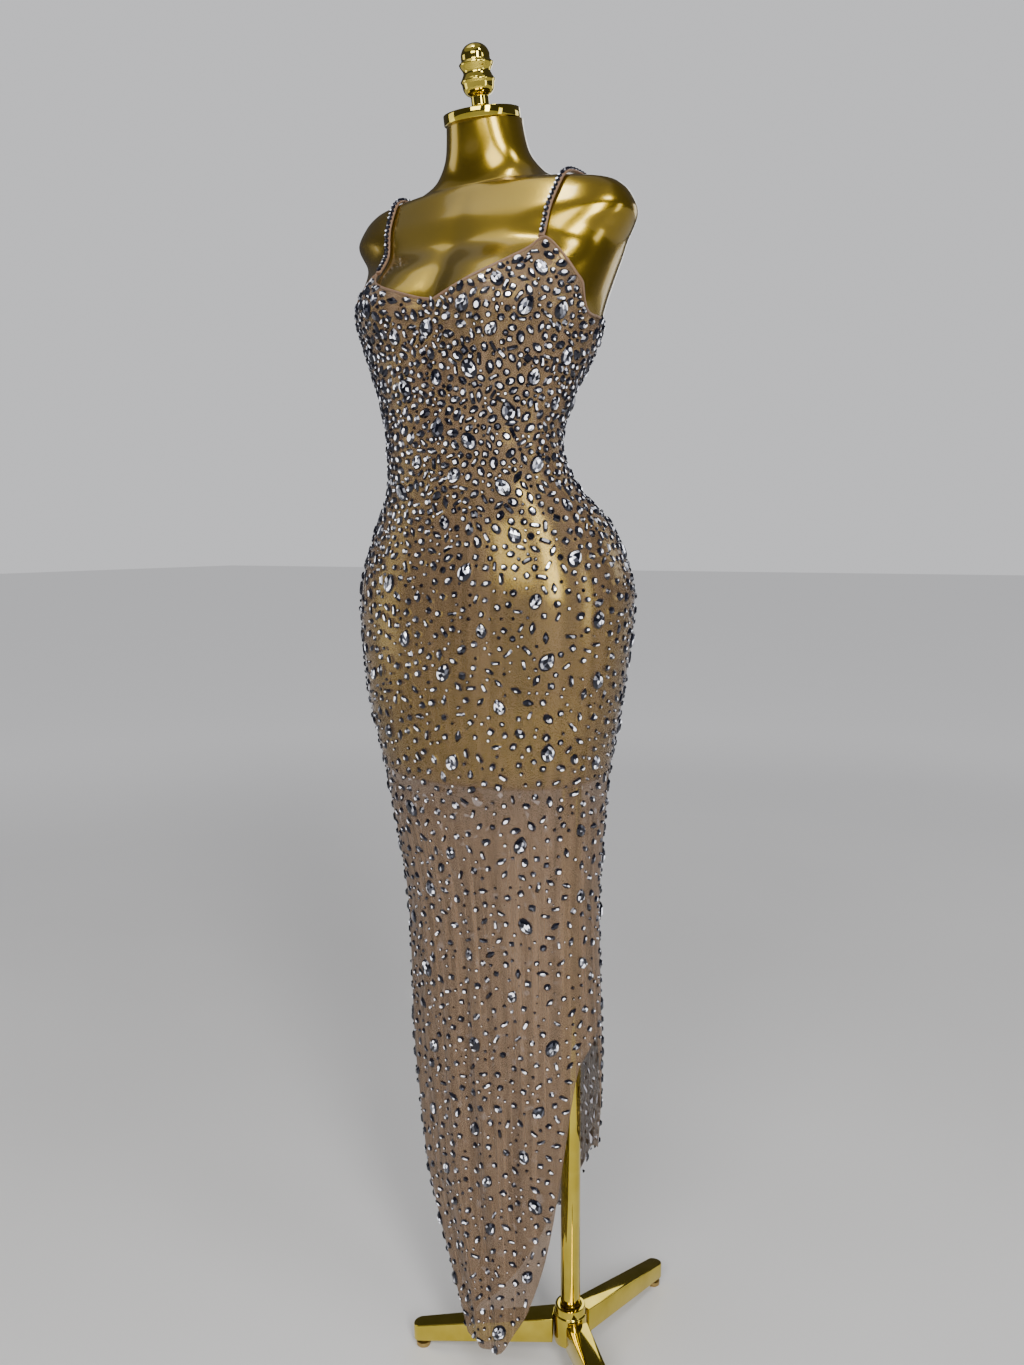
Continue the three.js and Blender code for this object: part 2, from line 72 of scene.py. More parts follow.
# %% [markdown]
# The camera stands where the photographer stood: to the wearer's left of the front, at
# chest height, looking down a little. The lens is a wide one, as on a telephone.

# %% Camera
CAMERA_PLACE = (0.6374, -1.1765, 1.096)
CAMERA_TURN, CAMERA_TILT, CAMERA_ROLL = 30.0, -7.77, -0.29
LENS, SENSOR = 28.38, 36.0

bpy.ops.object.select_all(action="DESELECT")
bpy.ops.object.camera_add(location=CAMERA_PLACE)
camera = bpy.context.object
camera.name = "camera"
camera.data.lens, camera.data.sensor_width = LENS, SENSOR
facing = (
    Matrix.Rotation(math.radians(CAMERA_TURN), 4, "Z")
    @ Matrix.Rotation(math.radians(90 + CAMERA_TILT), 4, "X")
    @ Matrix.Rotation(math.radians(CAMERA_ROLL), 4, "Z")
)
camera.rotation_euler = facing.to_euler()
bpy.context.scene.camera = camera
print("camera at", CAMERA_PLACE)

# %% [markdown]
# Every finish is a small web of nodes. A few helpers keep them short: one sets or links the
# inputs of a node by name, one adds a node, and two turn a number into a colour or a range.
# The last two start a material and give it to pieces.

# %% Helpers for finishes
def colour(red, green, blue):
    return (red, green, blue, 1.0)


def feed(node, **values):
    """Sets a node's inputs or settings by name, and links those that another node feeds."""
    for key, value in values.items():
        name = key.replace("_", " ")
        if isinstance(value, bpy.types.NodeSocket):
            node.id_data.links.new(value, node.inputs[name])
        elif name in node.inputs:
            node.inputs[name].default_value = value
        else:
            setattr(node, key, value)
    return node


def add(nodes, kind, **values):
    return feed(nodes.new("ShaderNode" + kind), **values)


def ramp(nodes, source, stops):
    """A colour that follows a number, through stops of (place, red, green, blue)."""
    node = add(nodes, "ValToRGB", Fac=source)
    elements = node.color_ramp.elements
    while len(elements) < len(stops):
        elements.new(0.5)
    for element, (place, *rgb) in zip(elements, stops):
        element.position = place
        element.color = colour(*rgb)
    return node.outputs["Color"]


def map_range(nodes, source, low, high):
    return add(nodes, "MapRange", To_Min=low, To_Max=high, Value=source).outputs["Result"]


def new_material(name, **values):
    """A new material, its nodes, and its main shader with some inputs set."""
    material = bpy.data.materials.new(name)
    material.use_nodes = True
    nodes = material.node_tree.nodes
    return material, nodes, feed(nodes["Principled BSDF"], **values)


def dress(pieces, material):
    """Gives pieces one material alone."""
    for piece in pieces:
        piece.data.materials.clear()
        piece.data.materials.append(material)
    print(material.name, "on", len(pieces), "pieces")


# %% [markdown]
# Soft studio light comes from large panels. Gold needs something darker to mirror between
# the bright panels, or it looks like flat paint, so the room is dimmer than the backdrop.
# The floor glows a little far away, so that it runs into the backdrop.

# %% Floor and room
bpy.ops.object.select_all(action="DESELECT")
bpy.ops.mesh.primitive_plane_add(size=60, location=(0, 0, 0))
floor = bpy.context.object
floor.name = "floor"
FLOOR_GLOW = {"near": 0.8, "far": 5.0, "strength": 0.42}


def floor_material():
    glow_colour = colour(1.0, 1.0, 1.02)
    material, nodes, shader = new_material("pale_floor", Roughness=0.55, Emission_Color=glow_colour)
    place = add(nodes, "TexCoord").outputs["Object"]
    clouds = add(nodes, "TexNoise", Scale=1.4, Vector=place)
    tint = ramp(nodes, clouds.outputs["Fac"], [(0.0, 0.74, 0.735, 0.73), (1.0, 0.80, 0.795, 0.79)])
    away = add(nodes, "VectorMath", operation="LENGTH", Vector=place)
    glow = add(nodes, "MapRange", interpolation_type="SMOOTHSTEP", Value=away.outputs["Value"],
               From_Min=FLOOR_GLOW["near"], From_Max=FLOOR_GLOW["far"], To_Max=FLOOR_GLOW["strength"])
    feed(shader, Base_Color=tint, Emission_Strength=glow.outputs["Result"])
    return material


dress([floor], floor_material())

world = bpy.data.worlds.new("studio")
bpy.context.scene.world = world
world.use_nodes = True
room = world.node_tree.nodes
sky = feed(room["Background"], Color=colour(0.07, 0.07, 0.08))
backdrop = add(room, "Background", Color=colour(0.72, 0.72, 0.74))
either = add(room, "MixShader", Fac=add(room, "LightPath").outputs["Is Camera Ray"])
for socket, side in ((1, sky), (2, backdrop)):
    world.node_tree.links.new(side.outputs[0], either.inputs[socket])
feed(room["World Output"], Surface=either.outputs[0])

# %% Lamps
# name: place, the point it faces, width, height, watts, colour
LAMPS = {
    "key": ((0.5, -2.5, 2.3), (0, 0, 1.15), 1.3, 1.2, 46, (1.0, 0.98, 0.95)),
    "window": ((1.75, -1.75, 2.0), (0, 0, 1.1), 0.55, 1.5, 56, (1.0, 0.99, 0.97)),
    "fill": ((2.6, -0.2, 1.4), (0, 0, 1.0), 0.5, 1.6, 12, (0.97, 0.98, 1.0)),
    "top": ((-0.45, -0.42, 3.0), (0, 0, 1.3), 0.90, 0.80, 3, (1.0, 1.0, 1.0)),
    "top_window": ((-0.10, -0.60, 3.0), (0, 0, 1.3), 0.34, 0.22, 6, (1.0, 1.0, 1.0)),
    "top_side": ((1.0, -0.5, 2.8), (0, 0, 1.2), 0.30, 0.35, 6, (1.0, 1.0, 1.0)),
    "left": ((-2.5, -0.9, 1.5), (0, 0, 1.1), 1.1, 1.7, 12, (1.0, 1.0, 1.0)),
    "back": ((-0.9, 2.6, 2.2), (0, 0, 1.1), 1.0, 1.2, 10, (1.0, 1.0, 1.0)),
    "back_right": ((1.0, 2.6, 2.0), (0, 0, 1.1), 1.0, 1.2, 9, (1.0, 1.0, 1.0)),
}


def add_lamp(name, place, target, width, height, watts, tint):
    bpy.ops.object.select_all(action="DESELECT")
    bpy.ops.object.light_add(type="AREA", location=place)
    lamp = bpy.context.object
    lamp.name = name
    lamp.data.shape = "RECTANGLE"
    lamp.data.size, lamp.data.size_y = width, height
    lamp.data.energy = watts
    lamp.data.color = tint
    lamp.rotation_euler = (Vector(target) - Vector(place)).to_track_quat("-Z", "Y").to_euler()
    return lamp


for name, values in LAMPS.items():
    add_lamp(name, *values)
bpy.ops.object.select_all(action="DESELECT")
bpy.ops.object.light_add(type="SUN", location=(0, 0, 3), rotation=(0.25, -0.2, 0))
ceiling = bpy.context.object
ceiling.name = "ceiling_light"
ceiling.data.energy, ceiling.data.angle = 0.3, 1.4
print(len(LAMPS), "lamps and a ceiling light")

# %% [markdown]
# A dressmaker knows a body by its girths. Each row of this table is one level of the gown:
# the middle of the body there, half its width, its depth to the front and to the back, and
# how square the oval is. A smooth curve through each column gives every level between.

# %% Levels of the body, in millimetres
# height, centre x, centre y, half width, front depth, back depth, squareness
SECTIONS = [
    (40, 30, -24, 46, 32, 32, 2.1),
    (120, 20, 5, 79, 51, 51, 2.1),
    (200, 8, 28, 107, 66, 66, 2.1),
    (280, 0, 35, 119, 74, 74, 2.2),
    (450, 0, 29, 130, 80, 80, 2.2),
    (620, 0, 21, 128, 85, 89, 2.2),
    (800, 0, 7, 142, 106, 111, 2.2),
    (920, 0, 1, 163, 119, 133, 2.2),
    (1020, 0, 2, 172, 117, 146, 2.2),
    (1100, 0, 3, 150, 107, 116, 2.2),
    (1160, 0, -24, 112, 85, 85, 2.2),
    (1200, 0, -37, 105, 79, 77, 2.2),
    (1250, 0, -32, 116, 87, 83, 2.2),
    (1300, 0, -21, 137, 102, 94, 2.2),
    (1345, 0, -17, 151, 116, 98, 2.2),
    (1380, 0, -6, 160, 108, 100, 2.2),
    (1415, 0, 6, 168, 88, 92, 2.2),
    (1445, 0, 3, 181, 68, 82, 2.2),
    (1463, 0, 4, 174, 58, 73, 2.2),
    (1477, 0, 5, 159, 51, 65, 2.2),
    (1484, 0, 6, 132, 48, 60, 2.1),
    (1487, 0, 7, 103, 47, 57, 2.1),
    (1503, 0, 5, 68, 44, 51, 2.0),
    (1530, 0, -2, 49, 42, 46, 2.0),
    (1572, 0, -10, 42, 42, 42, 2.0),
]


def curve(rows, column):
    """A smooth curve through one column of a table, with no overshoot between its rows."""
    x = np.array([row[0] for row in rows], float)
    y = np.array([row[column] for row in rows], float)
    rise = np.diff(y) / np.diff(x)
    before, after = np.append(rise[0], rise), np.append(rise, rise[-1])
    total = np.where(before + after == 0, 1, before + after)
    slope = np.where(before * after > 0, 2 * before * after / total, 0)

    def at(value):
        t = np.clip(value, x[0], x[-1])
        i = np.clip(np.searchsorted(x, t, side="left") - 1, 0, len(x) - 2)
        h = x[i + 1] - x[i]
        s = (t - x[i]) / h
        ease = h * s * (1 - s) * (slope[i] * (1 - s) - slope[i + 1] * s)
        return y[i] + (y[i + 1] - y[i]) * s * s * (3 - 2 * s) + ease

    return at


columns = (curve(SECTIONS, k) for k in range(1, 7))
centre_x, centre_y, half_width, front_depth, back_depth, squareness = columns
print(len(SECTIONS), "levels from", SECTIONS[0][0], "to", SECTIONS[-1][0], "mm")

# %% [markdown]
# Angles go round the body from the front: 0 is the front and 90 degrees is the wearer's
# left side. Onto the plain oval come the two cups, the soft vertical folds of the skirt
# and a few long creases, which are listed one by one.

# %% The skin of the gown
DEG = math.pi / 180
WALL, CLOTH_GAP, SEAM_GAP = 1.5, 0.8, 0.3
CUP = {"angle": 30 * DEG, "height": 1348, "half_angle": 21 * DEG, "half_height": 44, "rise": 13}
HOLLOW = {"half_angle": 11 * DEG, "half_height": 62, "depth": 7}
ARMHOLE_EASE = {"height": 1384, "half_height": 42, "depth": 2.6}
FOLDS = {"count": 9, "turn": 12 * DEG, "start": 800, "full": 250, "depth": 2.6}
COVERED = (1412, 1450)
CREASE = {"wander": 4, "wave": 70, "fade_in": 120, "fade_out": 110}
# angle in degrees, upper end, lower end, half width, depth (a rise is positive)
CREASES = [
    (46, 850, 470, 6, -2.6),
    (53, 830, 520, 6, 2.0),
    (14, 790, 260, 7, -2.4),
    (4, 640, 200, 6, 2.2),
    (-7, 700, 180, 7, -2.4),
    (24, 620, 120, 6, 2.2),
    (33, 660, 130, 6, -2.6),
    (40, 560, 170, 5, 2.2),
    (-20, 600, 200, 7, 2.0),
    (-32, 760, 260, 8, -2.5),
    (-46, 640, 240, 7, 2.0),
    (-60, 720, 280, 8, -2.2),
    (66, 700, 420, 6, -2.2),
    (-78, 640, 240, 8, -2.0),
    (112, 760, 380, 8, -1.5),
    (140, 700, 260, 9, 1.3),
    (168, 790, 320, 9, -1.6),
    (196, 680, 220, 8, 1.2),
    (222, 760, 260, 9, -1.4),
    (250, 700, 300, 8, 1.1),
]


def smoothstep(value, low, high):
    t = np.clip((value - low) / (high - low), 0, 1)
    return t * t * (3 - 2 * t)


def bell(value, half):
    return np.exp(-((value / half) ** 2))


def turn_to_180(angle):
    return np.arctan2(np.sin(angle), np.cos(angle))


def cup_rise(angle, z):
    turned = turn_to_180(angle)
    across = bell(turned - CUP["angle"], CUP["half_angle"]) + bell(turned + CUP["angle"], CUP["half_angle"])
    return CUP["rise"] * across * bell(z - CUP["height"], CUP["half_height"])


def fold_rise(angle, z):
    grown = smoothstep(FOLDS["start"] - z, 0, FOLDS["start"] - FOLDS["full"])
    return FOLDS["depth"] * grown * np.cos(FOLDS["count"] * (angle - FOLDS["turn"]))


def skin_radius(angle, z):
    depth = np.where(np.cos(angle) > 0, front_depth(z), back_depth(z))
    power = squareness(z)
    side = np.abs(np.sin(angle) / half_width(z)) ** power
    front = np.abs(np.cos(angle) / depth) ** power
    return (side + front) ** (-1 / power) + cup_rise(angle, z) + fold_rise(angle, z)


def crease_rise(angle, z, radius):
    rise = 0.0 * (angle + z)
    for degrees, high, low, half, depth in CREASES:
        wander = CREASE["wander"] * np.sin(z / CREASE["wave"] + degrees)
        across = turn_to_180(angle - degrees * DEG) * radius - wander
        along = smoothstep(z, low, low + CREASE["fade_in"])
        along = along * (1 - smoothstep(z, high - CREASE["fade_out"], high))
        rise = rise + depth * bell(across, half) * along
    return rise


def at_radius(angle, z, radius):
    """Points in millimetres at a distance from the middle of the body."""
    angle, z, radius = np.broadcast_arrays(angle, z, radius)
    x = centre_x(z) + radius * np.sin(angle)
    y = centre_y(z) - radius * np.cos(angle)
    return np.stack([x, y, z + 0.0 * x], axis=-1)


def cloth_point(angle, z, out=0.0):
    """A point of the gown's outside, with its creases, moved out by some distance."""
    radius = skin_radius(angle, z)
    return at_radius(angle, z, radius + crease_rise(angle, z, radius) + out)


def form_inset(angle, z):
    covered = 1 - smoothstep(z, *COVERED)
    hollow = HOLLOW["depth"] * bell(turn_to_180(angle), HOLLOW["half_angle"])
    hollow = hollow * bell(z - CUP["height"], HOLLOW["half_height"])
    clear = ARMHOLE_EASE["depth"] * bell(z - ARMHOLE_EASE["height"], ARMHOLE_EASE["half_height"])
    return (WALL + CLOTH_GAP) * covered + hollow + clear


def form_point(angle, z, inward=0.0):
    return at_radius(angle, z, skin_radius(angle, z) - form_inset(angle, z) - inward)


def girth(z):
    around = cloth_point(np.linspace(0, 2 * math.pi, 361), z)
    return float(np.linalg.norm(np.diff(around, axis=0), axis=1).sum())


for name, height in (("bust", 1340), ("waist", 1200), ("hips", 1000), ("knees", 500)):
    print(name, "girth", round(girth(height)), "mm")

# %% [markdown]
# The dress form shows above the neckline and glows through the mesh down to its lower edge.
# It starts as one ring of points that is extruded upwards level by level, like coiled clay,
# and each ring is then pushed out to the section of the body at its height.

# %% Helpers for modelling by hand
FORM_FLOOR, FORM_EDGE = 808, 7
FORM_COLUMNS = 168


def start_piece(piece=None):
    """Nothing else stays selected, so that an operator acts on this piece alone."""
    if bpy.context.object and bpy.context.object.mode != "OBJECT":
        bpy.ops.object.mode_set(mode="OBJECT")
    bpy.ops.object.select_all(action="DESELECT")
    if piece:
        bpy.context.view_layer.objects.active = piece
        piece.select_set(True)


def pick(piece, test, kind="faces"):
    """Selects the faces, edges or points whose middle passes the test, in edit mode."""
    start_piece(piece)
    mesh = piece.data
    for group in (mesh.vertices, mesh.edges, mesh.polygons):
        group.foreach_set("select", [False] * len(group))
    for item in {"faces": mesh.polygons, "edges": mesh.edges, "points": mesh.vertices}[kind]:
        ends = [mesh.vertices[v].co for v in item.vertices] if kind != "points" else [item.co]
        item.select = bool(test(sum(ends, Vector()) / len(ends), item))
    bpy.ops.object.mode_set(mode="EDIT")
    bpy.ops.mesh.select_mode(type={"faces": "FACE", "edges": "EDGE", "points": "VERT"}[kind])


def ring_stack(name, columns, radii_and_heights, centre=(0.0, 0.0)):
    """A turned piece in metres: a disc extruded and resized from one ring to the next."""
    start_piece()
    (radius, height), *others = radii_and_heights
    place = (centre[0], centre[1], height)
    bpy.ops.mesh.primitive_circle_add(vertices=columns, radius=radius, fill_type="NGON", location=place)
    piece = bpy.context.object
    piece.name = piece.data.name = name
    bpy.ops.object.mode_set(mode="EDIT")
    bpy.ops.mesh.select_all(action="SELECT")
    for wider, higher in others:
        bpy.ops.mesh.extrude_region_move(TRANSFORM_OT_translate={"value": (0, 0, higher - height)})
        scale = wider / radius
        bpy.ops.transform.resize(value=(scale, scale, 1), center_override=(centre[0], centre[1], higher))
        radius, height = wider, higher
    bpy.ops.mesh.select_all(action="SELECT")
    bpy.ops.mesh.normals_make_consistent(inside=False)
    bpy.ops.object.mode_set(mode="OBJECT")
    bpy.ops.object.transform_apply(location=True, rotation=True, scale=True)
    return piece


def add_modifier(piece, kind, **settings):
    """Adds a modifier, sets it and applies it."""
    start_piece(piece)
    modifier = piece.modifiers.new(kind.lower(), kind)
    for key, value in settings.items():
        setattr(modifier, key, value)
    bpy.ops.object.modifier_apply(modifier=modifier.name)
    return piece


def smooth(piece, angle=40):
    start_piece(piece)
    bpy.ops.object.shade_smooth_by_angle(angle=angle * DEG)
    return piece


def report(piece):
    triangles = sum(len(face.vertices) - 2 for face in piece.data.polygons)
    print(piece.name, "has", triangles, "triangles")


# %% Dress form
NECK_LEAN = 12.5 * DEG
NECK_TOP = (0.0, -12.0, 1559.0)
# lowest and highest level, and the number of rings from one to the other
FORM_RINGS = [
    (FORM_FLOOR + FORM_EDGE, 1300, 110), (1305, 1440, 34), (1443, 1490, 30), (1493, NECK_TOP[2], 20),
]
form_levels = np.concatenate([np.linspace(*rings) for rings in FORM_RINGS])


def make_form():
    rings = [(0.06, level / 1000) for level in form_levels]
    middle = metres((0, 0, 0))
    piece = ring_stack("form_body", FORM_COLUMNS, rings, tuple(middle[:2]))
    points = np.array([point.co for point in piece.data.vertices])
    x, y = (points[:, k] * 1000 - middle[k] * 1000 for k in (0, 1))
    angle, z = np.arctan2(x, -y), points[:, 2] * 1000
    shaped = form_point(angle, z)
    top = z > form_levels[-1] - 0.5
    shaped[top, 2] = NECK_TOP[2] - 1 + math.tan(NECK_LEAN) * (shaped[top, 1] - NECK_TOP[1])
    piece.data.vertices.foreach_set("co", metres(shaped).ravel())
    return piece


form = make_form()
floor_level = (FORM_FLOOR + FORM_EDGE + 0.5) / 1000
pick(form, lambda middle, face: middle.z < floor_level and abs(face.normal.z) > 0.9)
bpy.ops.mesh.inset(thickness=FORM_EDGE / 1000)
bpy.ops.transform.translate(value=(0, 0, -FORM_EDGE / 1000))
bpy.ops.object.mode_set(mode="OBJECT")
report(form)

# %% Socket for the pole in the form's floor
SOCKET, PLAY = 60, 0.3
pole_middle = tuple(metres((POLE["x"], POLE["y"], 0))[:2])
bore = (POLE["radius"] + PLAY) / 1000
drilled = [(bore, FORM_FLOOR / 1000 - 0.02), (bore, (FORM_FLOOR + SOCKET + PLAY) / 1000)]
drill = ring_stack("drill", 64, drilled, pole_middle)
add_modifier(form, "BOOLEAN", operation="DIFFERENCE", object=drill, solver="EXACT")
bpy.data.objects.remove(drill)
smooth(form, 50)
report(form)
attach(form, "root")
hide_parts("dress_form")

# %% [markdown]
# The gown is cut as a front and a back panel, sewn down both sides. The wearer's left seam
# stops above the knee, and below it each panel has a free edge. Five curves give the neckline,
# the slit and the slanting hem.

# %% Outlines of the two panels
SLIT_TOP = 487
NECKLINE_TURN, NECKLINE_LEAN = 6, 14
# angle from the neckline's middle in degrees, height
FRONT_TOP = [
    (0, 1343), (8, 1348), (20, 1359), (35, 1375), (44, 1387), (48, 1396), (49.7, 1398.5), (51.4, 1396),
    (55, 1384.5), (59, 1372), (65, 1356), (75, 1339), (90, 1326),
]
BACK_TOP = [
    (90, 1326), (98, 1319), (106, 1320), (118, 1338), (129, 1363), (133, 1364), (142, 1342),
    (156, 1314), (180, 1298),
]
# height, angle in degrees
FRONT_SLIT = [
    (62, 0), (66, 12), (74, 23), (92, 35), (116, 45), (151, 52), (197, 58), (250, 63),
    (327, 67.5), (400, 71.5), (450, 76), (SLIT_TOP, 90),
]
BACK_SLIT = [(300, 99), (400, 94), (SLIT_TOP, 90)]
FRONT_HEM = 64
# angle in degrees, height
BACK_HEM = [(90, 318), (104, 302), (115, 270), (128, 232), (146, 186), (180, 126), (215, 90), (270, 64)]

front_top_curve, back_top_curve = curve(FRONT_TOP, 1), curve(BACK_TOP, 1)
front_slit, back_slit, back_hem = curve(FRONT_SLIT, 1), curve(BACK_SLIT, 1), curve(BACK_HEM, 1)


def neck_height(degrees, table):
    degrees = np.asarray(degrees, float)
    turned = turn_to_180((degrees - NECKLINE_TURN) * DEG) / DEG
    side = smoothstep(np.abs(np.sin(degrees * DEG)), 0.96, 1)
    level = table(np.abs(turned)) * (1 - side) + FRONT_TOP[-1][1] * side
    return level + NECKLINE_LEAN * np.sin(degrees * DEG) * (1 - side * 0.5)


FRONT = {
    "start": lambda z: -90 + 0.0 * z,
    "end": lambda z: np.where(z < SLIT_TOP, front_slit(z), 90.0),
    "top": lambda degrees: neck_height(degrees, front_top_curve),
    "low": lambda degrees: FRONT_HEM + 0.0 * degrees,
}
BACK = {
    "start": lambda z: np.where(z < SLIT_TOP, back_slit(z), 90.0),
    "end": lambda z: 270 + 0.0 * z,
    "top": lambda degrees: neck_height(degrees, back_top_curve),
    "low": lambda degrees: back_hem(degrees),
}

# %% [markdown]
# Each panel is a grid of points laid on the skin, a few millimetres apart, so that the long
# creases come out soft. The grid gets a map in metres of cloth, for the net's pattern, and
# a thickness a little over half a millimetre.

# %% Helpers for the panels
CLOTH_THICKNESS = 0.0006
GRID_MIDDLE, GRID_EASE = 500, 1.05
MAP_RADIUS = 0.13


def mesh_piece(name, points, faces):
    """A new piece from points in metres and faces."""
    mesh = bpy.data.meshes.new(name)
    mesh.from_pydata(np.asarray(points).tolist(), [], faces)
    mesh.validate()
    piece = bpy.data.objects.new(name, mesh)
    bpy.context.collection.objects.link(piece)
    return piece


def grid_faces(rows, columns):
    """Faces of a grid whose rows run down and whose columns run round to the wearer's left."""
    corner = (np.arange(rows - 1)[:, None] * columns + np.arange(columns - 1)).ravel()
    return np.stack([corner, corner + columns, corner + columns + 1, corner + 1], axis=1).tolist()


def give_map(piece, name, places):
    """A map for patterns, with one flat place for each point of the piece."""
    corner = np.empty(len(piece.data.loops), np.int64)
    piece.data.loops.foreach_get("vertex_index", corner)
    piece.data.uv_layers.new(name=name).data.foreach_set("uv", places[corner].ravel())


def panel_places(panel, columns, rows_high, rows_low):
    """Angle in degrees and height of each point of a panel's grid, row by row."""
    part = np.linspace(0, 1, columns)
    level = np.float64(SLIT_TOP)
    full = panel["start"](level) * (1 - part) + panel["end"](level) * part
    high = np.linspace(0, 1, rows_high)[:, None] ** GRID_EASE
    low = np.linspace(0, 1, rows_low)[1:, None]
    upper = panel["top"](full) * (1 - high) + GRID_MIDDLE * high
    lower = GRID_MIDDLE * (1 - low) + panel["low"](full) * low
    z = np.vstack([upper, lower])
    degrees = panel["start"](z) * (1 - part) + panel["end"](z) * part
    return degrees, z, part


def make_panel(name, panel, columns, rows_high, rows_low):
    degrees, z, part = panel_places(panel, columns, rows_high, rows_low)
    seam = SEAM_GAP / 2 / skin_radius(90 * DEG, z) * (1 - 2 * part)
    points = cloth_point(degrees * DEG + seam, z)
    piece = mesh_piece(name, metres(points.reshape(-1, 3)), grid_faces(len(z), columns))
    across, down = degrees * DEG * MAP_RADIUS, z / 1000
    give_map(piece, "cloth", np.stack([across.ravel(), down.ravel()], axis=1))
    area = sum(face.area for face in piece.data.polygons)
    print(name, "has", len(piece.data.polygons), "faces and", round(area, 3), "square metres of cloth")
    add_modifier(piece, "SOLIDIFY", thickness=CLOTH_THICKNESS, offset=-1)
    return smooth(piece, 60), area


# %% Cloth of the gown
gown_front, front_area = make_panel("gown_front_cloth", FRONT, 120, 220, 100)
gown_back, back_area = make_panel("gown_back_cloth", BACK, 110, 190, 90)
for piece, node in ((gown_front, "gown_front"), (gown_back, "gown_back")):
    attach(piece, "root")
    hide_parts(node)

# %% [markdown]
# Every tube on the gown, such as a strap or the rolled edge of the neckline, follows a line
# of points with a small oval section. One helper makes them all.

# %% Tubes along a line
def unit(vectors):
    return vectors / np.linalg.norm(vectors, axis=1)[:, None]


def length_along(path):
    """How far along a line each of its points lies."""
    return np.append(0, np.cumsum(np.linalg.norm(np.diff(path, axis=0), axis=1)))


def side_and_away(path, sideways):
    """Each point's direction to the side, square to the line, and its direction off the body."""
    along = unit(np.gradient(path, axis=0))
    sideways = np.asarray(sideways, float)
    across = unit(sideways - (sideways * along).sum(axis=1)[:, None] * along)
    return across, np.cross(across, along)


def tube(name, path, sideways, half_wide, half_thick, sides):
    """A tube along body points in millimetres, with an oval section."""
    across, away = side_and_away(path, sideways)
    turn = np.arange(sides) / sides * 2 * math.pi
    ring = half_wide * np.cos(turn)[None, :, None] * across[:, None, :]
    ring = ring + half_thick * np.sin(turn)[None, :, None] * away[:, None, :]
    points = (path[:, None, :] + ring).reshape(-1, 3)
    faces = []
    for row in range(len(path) - 1):
        for k in range(sides):
            a, b = row * sides + k, row * sides + (k + 1) % sides
            faces.append([a, b, b + sides, a + sides])
    last = (len(path) - 1) * sides
    faces.append([sides - 1 - k for k in range(sides)])
    faces.append([last + k for k in range(sides)])
    piece = mesh_piece(name, metres(points), faces)
    along, around = np.repeat(length_along(path) / 1000, sides), np.tile(turn / (2 * math.pi), len(path))
    give_map(piece, "length", np.stack([along, around], axis=1))
    pick(piece, lambda middle, face: True)
    bpy.ops.mesh.normals_make_consistent(inside=False)
    bpy.ops.object.mode_set(mode="OBJECT")
    return smooth(piece, 60)


# %% [markdown]
# The neckline and the armholes are finished with a narrow turned edge, and the straps grow
# out of its two front points and cross the shoulders to the back.

# %% Neckline edge
EDGE = {"half_width": 1.5, "half_thickness": 0.9, "below_top": 1.2, "out": 0.1, "points": 220}


def edge_path(panel, first, last):
    degrees = np.linspace(first, last, EDGE["points"])
    return cloth_point(degrees * DEG, panel["top"](degrees) - EDGE["below_top"], out=EDGE["out"])


EDGE_ENDS = {"neck_edge_front": (FRONT, -89.9, 89.9), "neck_edge_back": (BACK, 90.1, 269.9)}
edges = []
for name, ends in EDGE_ENDS.items():
    upright = (0.0, 0.0, 1.0)
    edge = tube(name, edge_path(*ends), upright, EDGE["half_width"], EDGE["half_thickness"], sides=8)
    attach(edge, "root")
    edges.append(edge)
    report(edge)

# %% Straps
STRAP = {"half_width": 4.2, "half_thickness": 2.0, "gap": 1.4, "tuck": 2.5, "steps": 72}
STRAP_TOP_X = {"strap_left": 117, "strap_right": -107}
SHOULDER = {"y": 4, "z": 1400, "reach": 160}


def out_of_form(point):
    dx, dy = point[0] - centre_x(point[2]), point[1] - centre_y(point[2])
    angle = math.atan2(dx, -dy)
    return math.hypot(dx, dy) > skin_radius(angle, point[2]) - form_inset(angle, point[2])


def shoulder_point(x, pitch):
    """Where a ray from the middle of the shoulder leaves the form."""
    low, high = 0.0, SHOULDER["reach"]
    aim = np.array([0.0, -math.cos(pitch), math.sin(pitch)])
    middle = np.array([x, SHOULDER["y"], SHOULDER["z"]])
    for _ in range(30):
        reach = (low + high) / 2
        if out_of_form(middle + aim * reach):
            high = reach
        else:
            low = reach
    return middle + aim * low


def pitch_of(point):
    pitch = math.atan2(point[2] - SHOULDER["z"], SHOULDER["y"] - point[1])
    return pitch + 2 * math.pi if pitch < -math.pi / 2 else pitch


def strap_line(front_degrees, back_degrees, top_x):
    front = form_point(front_degrees * DEG, float(FRONT["top"](front_degrees)) - STRAP["tuck"])
    back = form_point(back_degrees * DEG, float(BACK["top"](back_degrees)) - STRAP["tuck"])
    path = []
    for i in range(STRAP["steps"] + 1):
        part = i / STRAP["steps"]
        x = front[0] + (back[0] - front[0]) * part
        x += (top_x - x) * math.sin(part * math.pi)
        path.append(shoulder_point(x, pitch_of(front) + (pitch_of(back) - pitch_of(front)) * part))
    path = np.array(path)
    for _ in range(3):
        path[1:-1] = (path[:-2] + 2 * path[1:-1] + path[2:]) / 4
    across, away = side_and_away(path, (1.0, 0.0, 0.0))
    return path + away * (STRAP["half_thickness"] + STRAP["gap"]), across, away


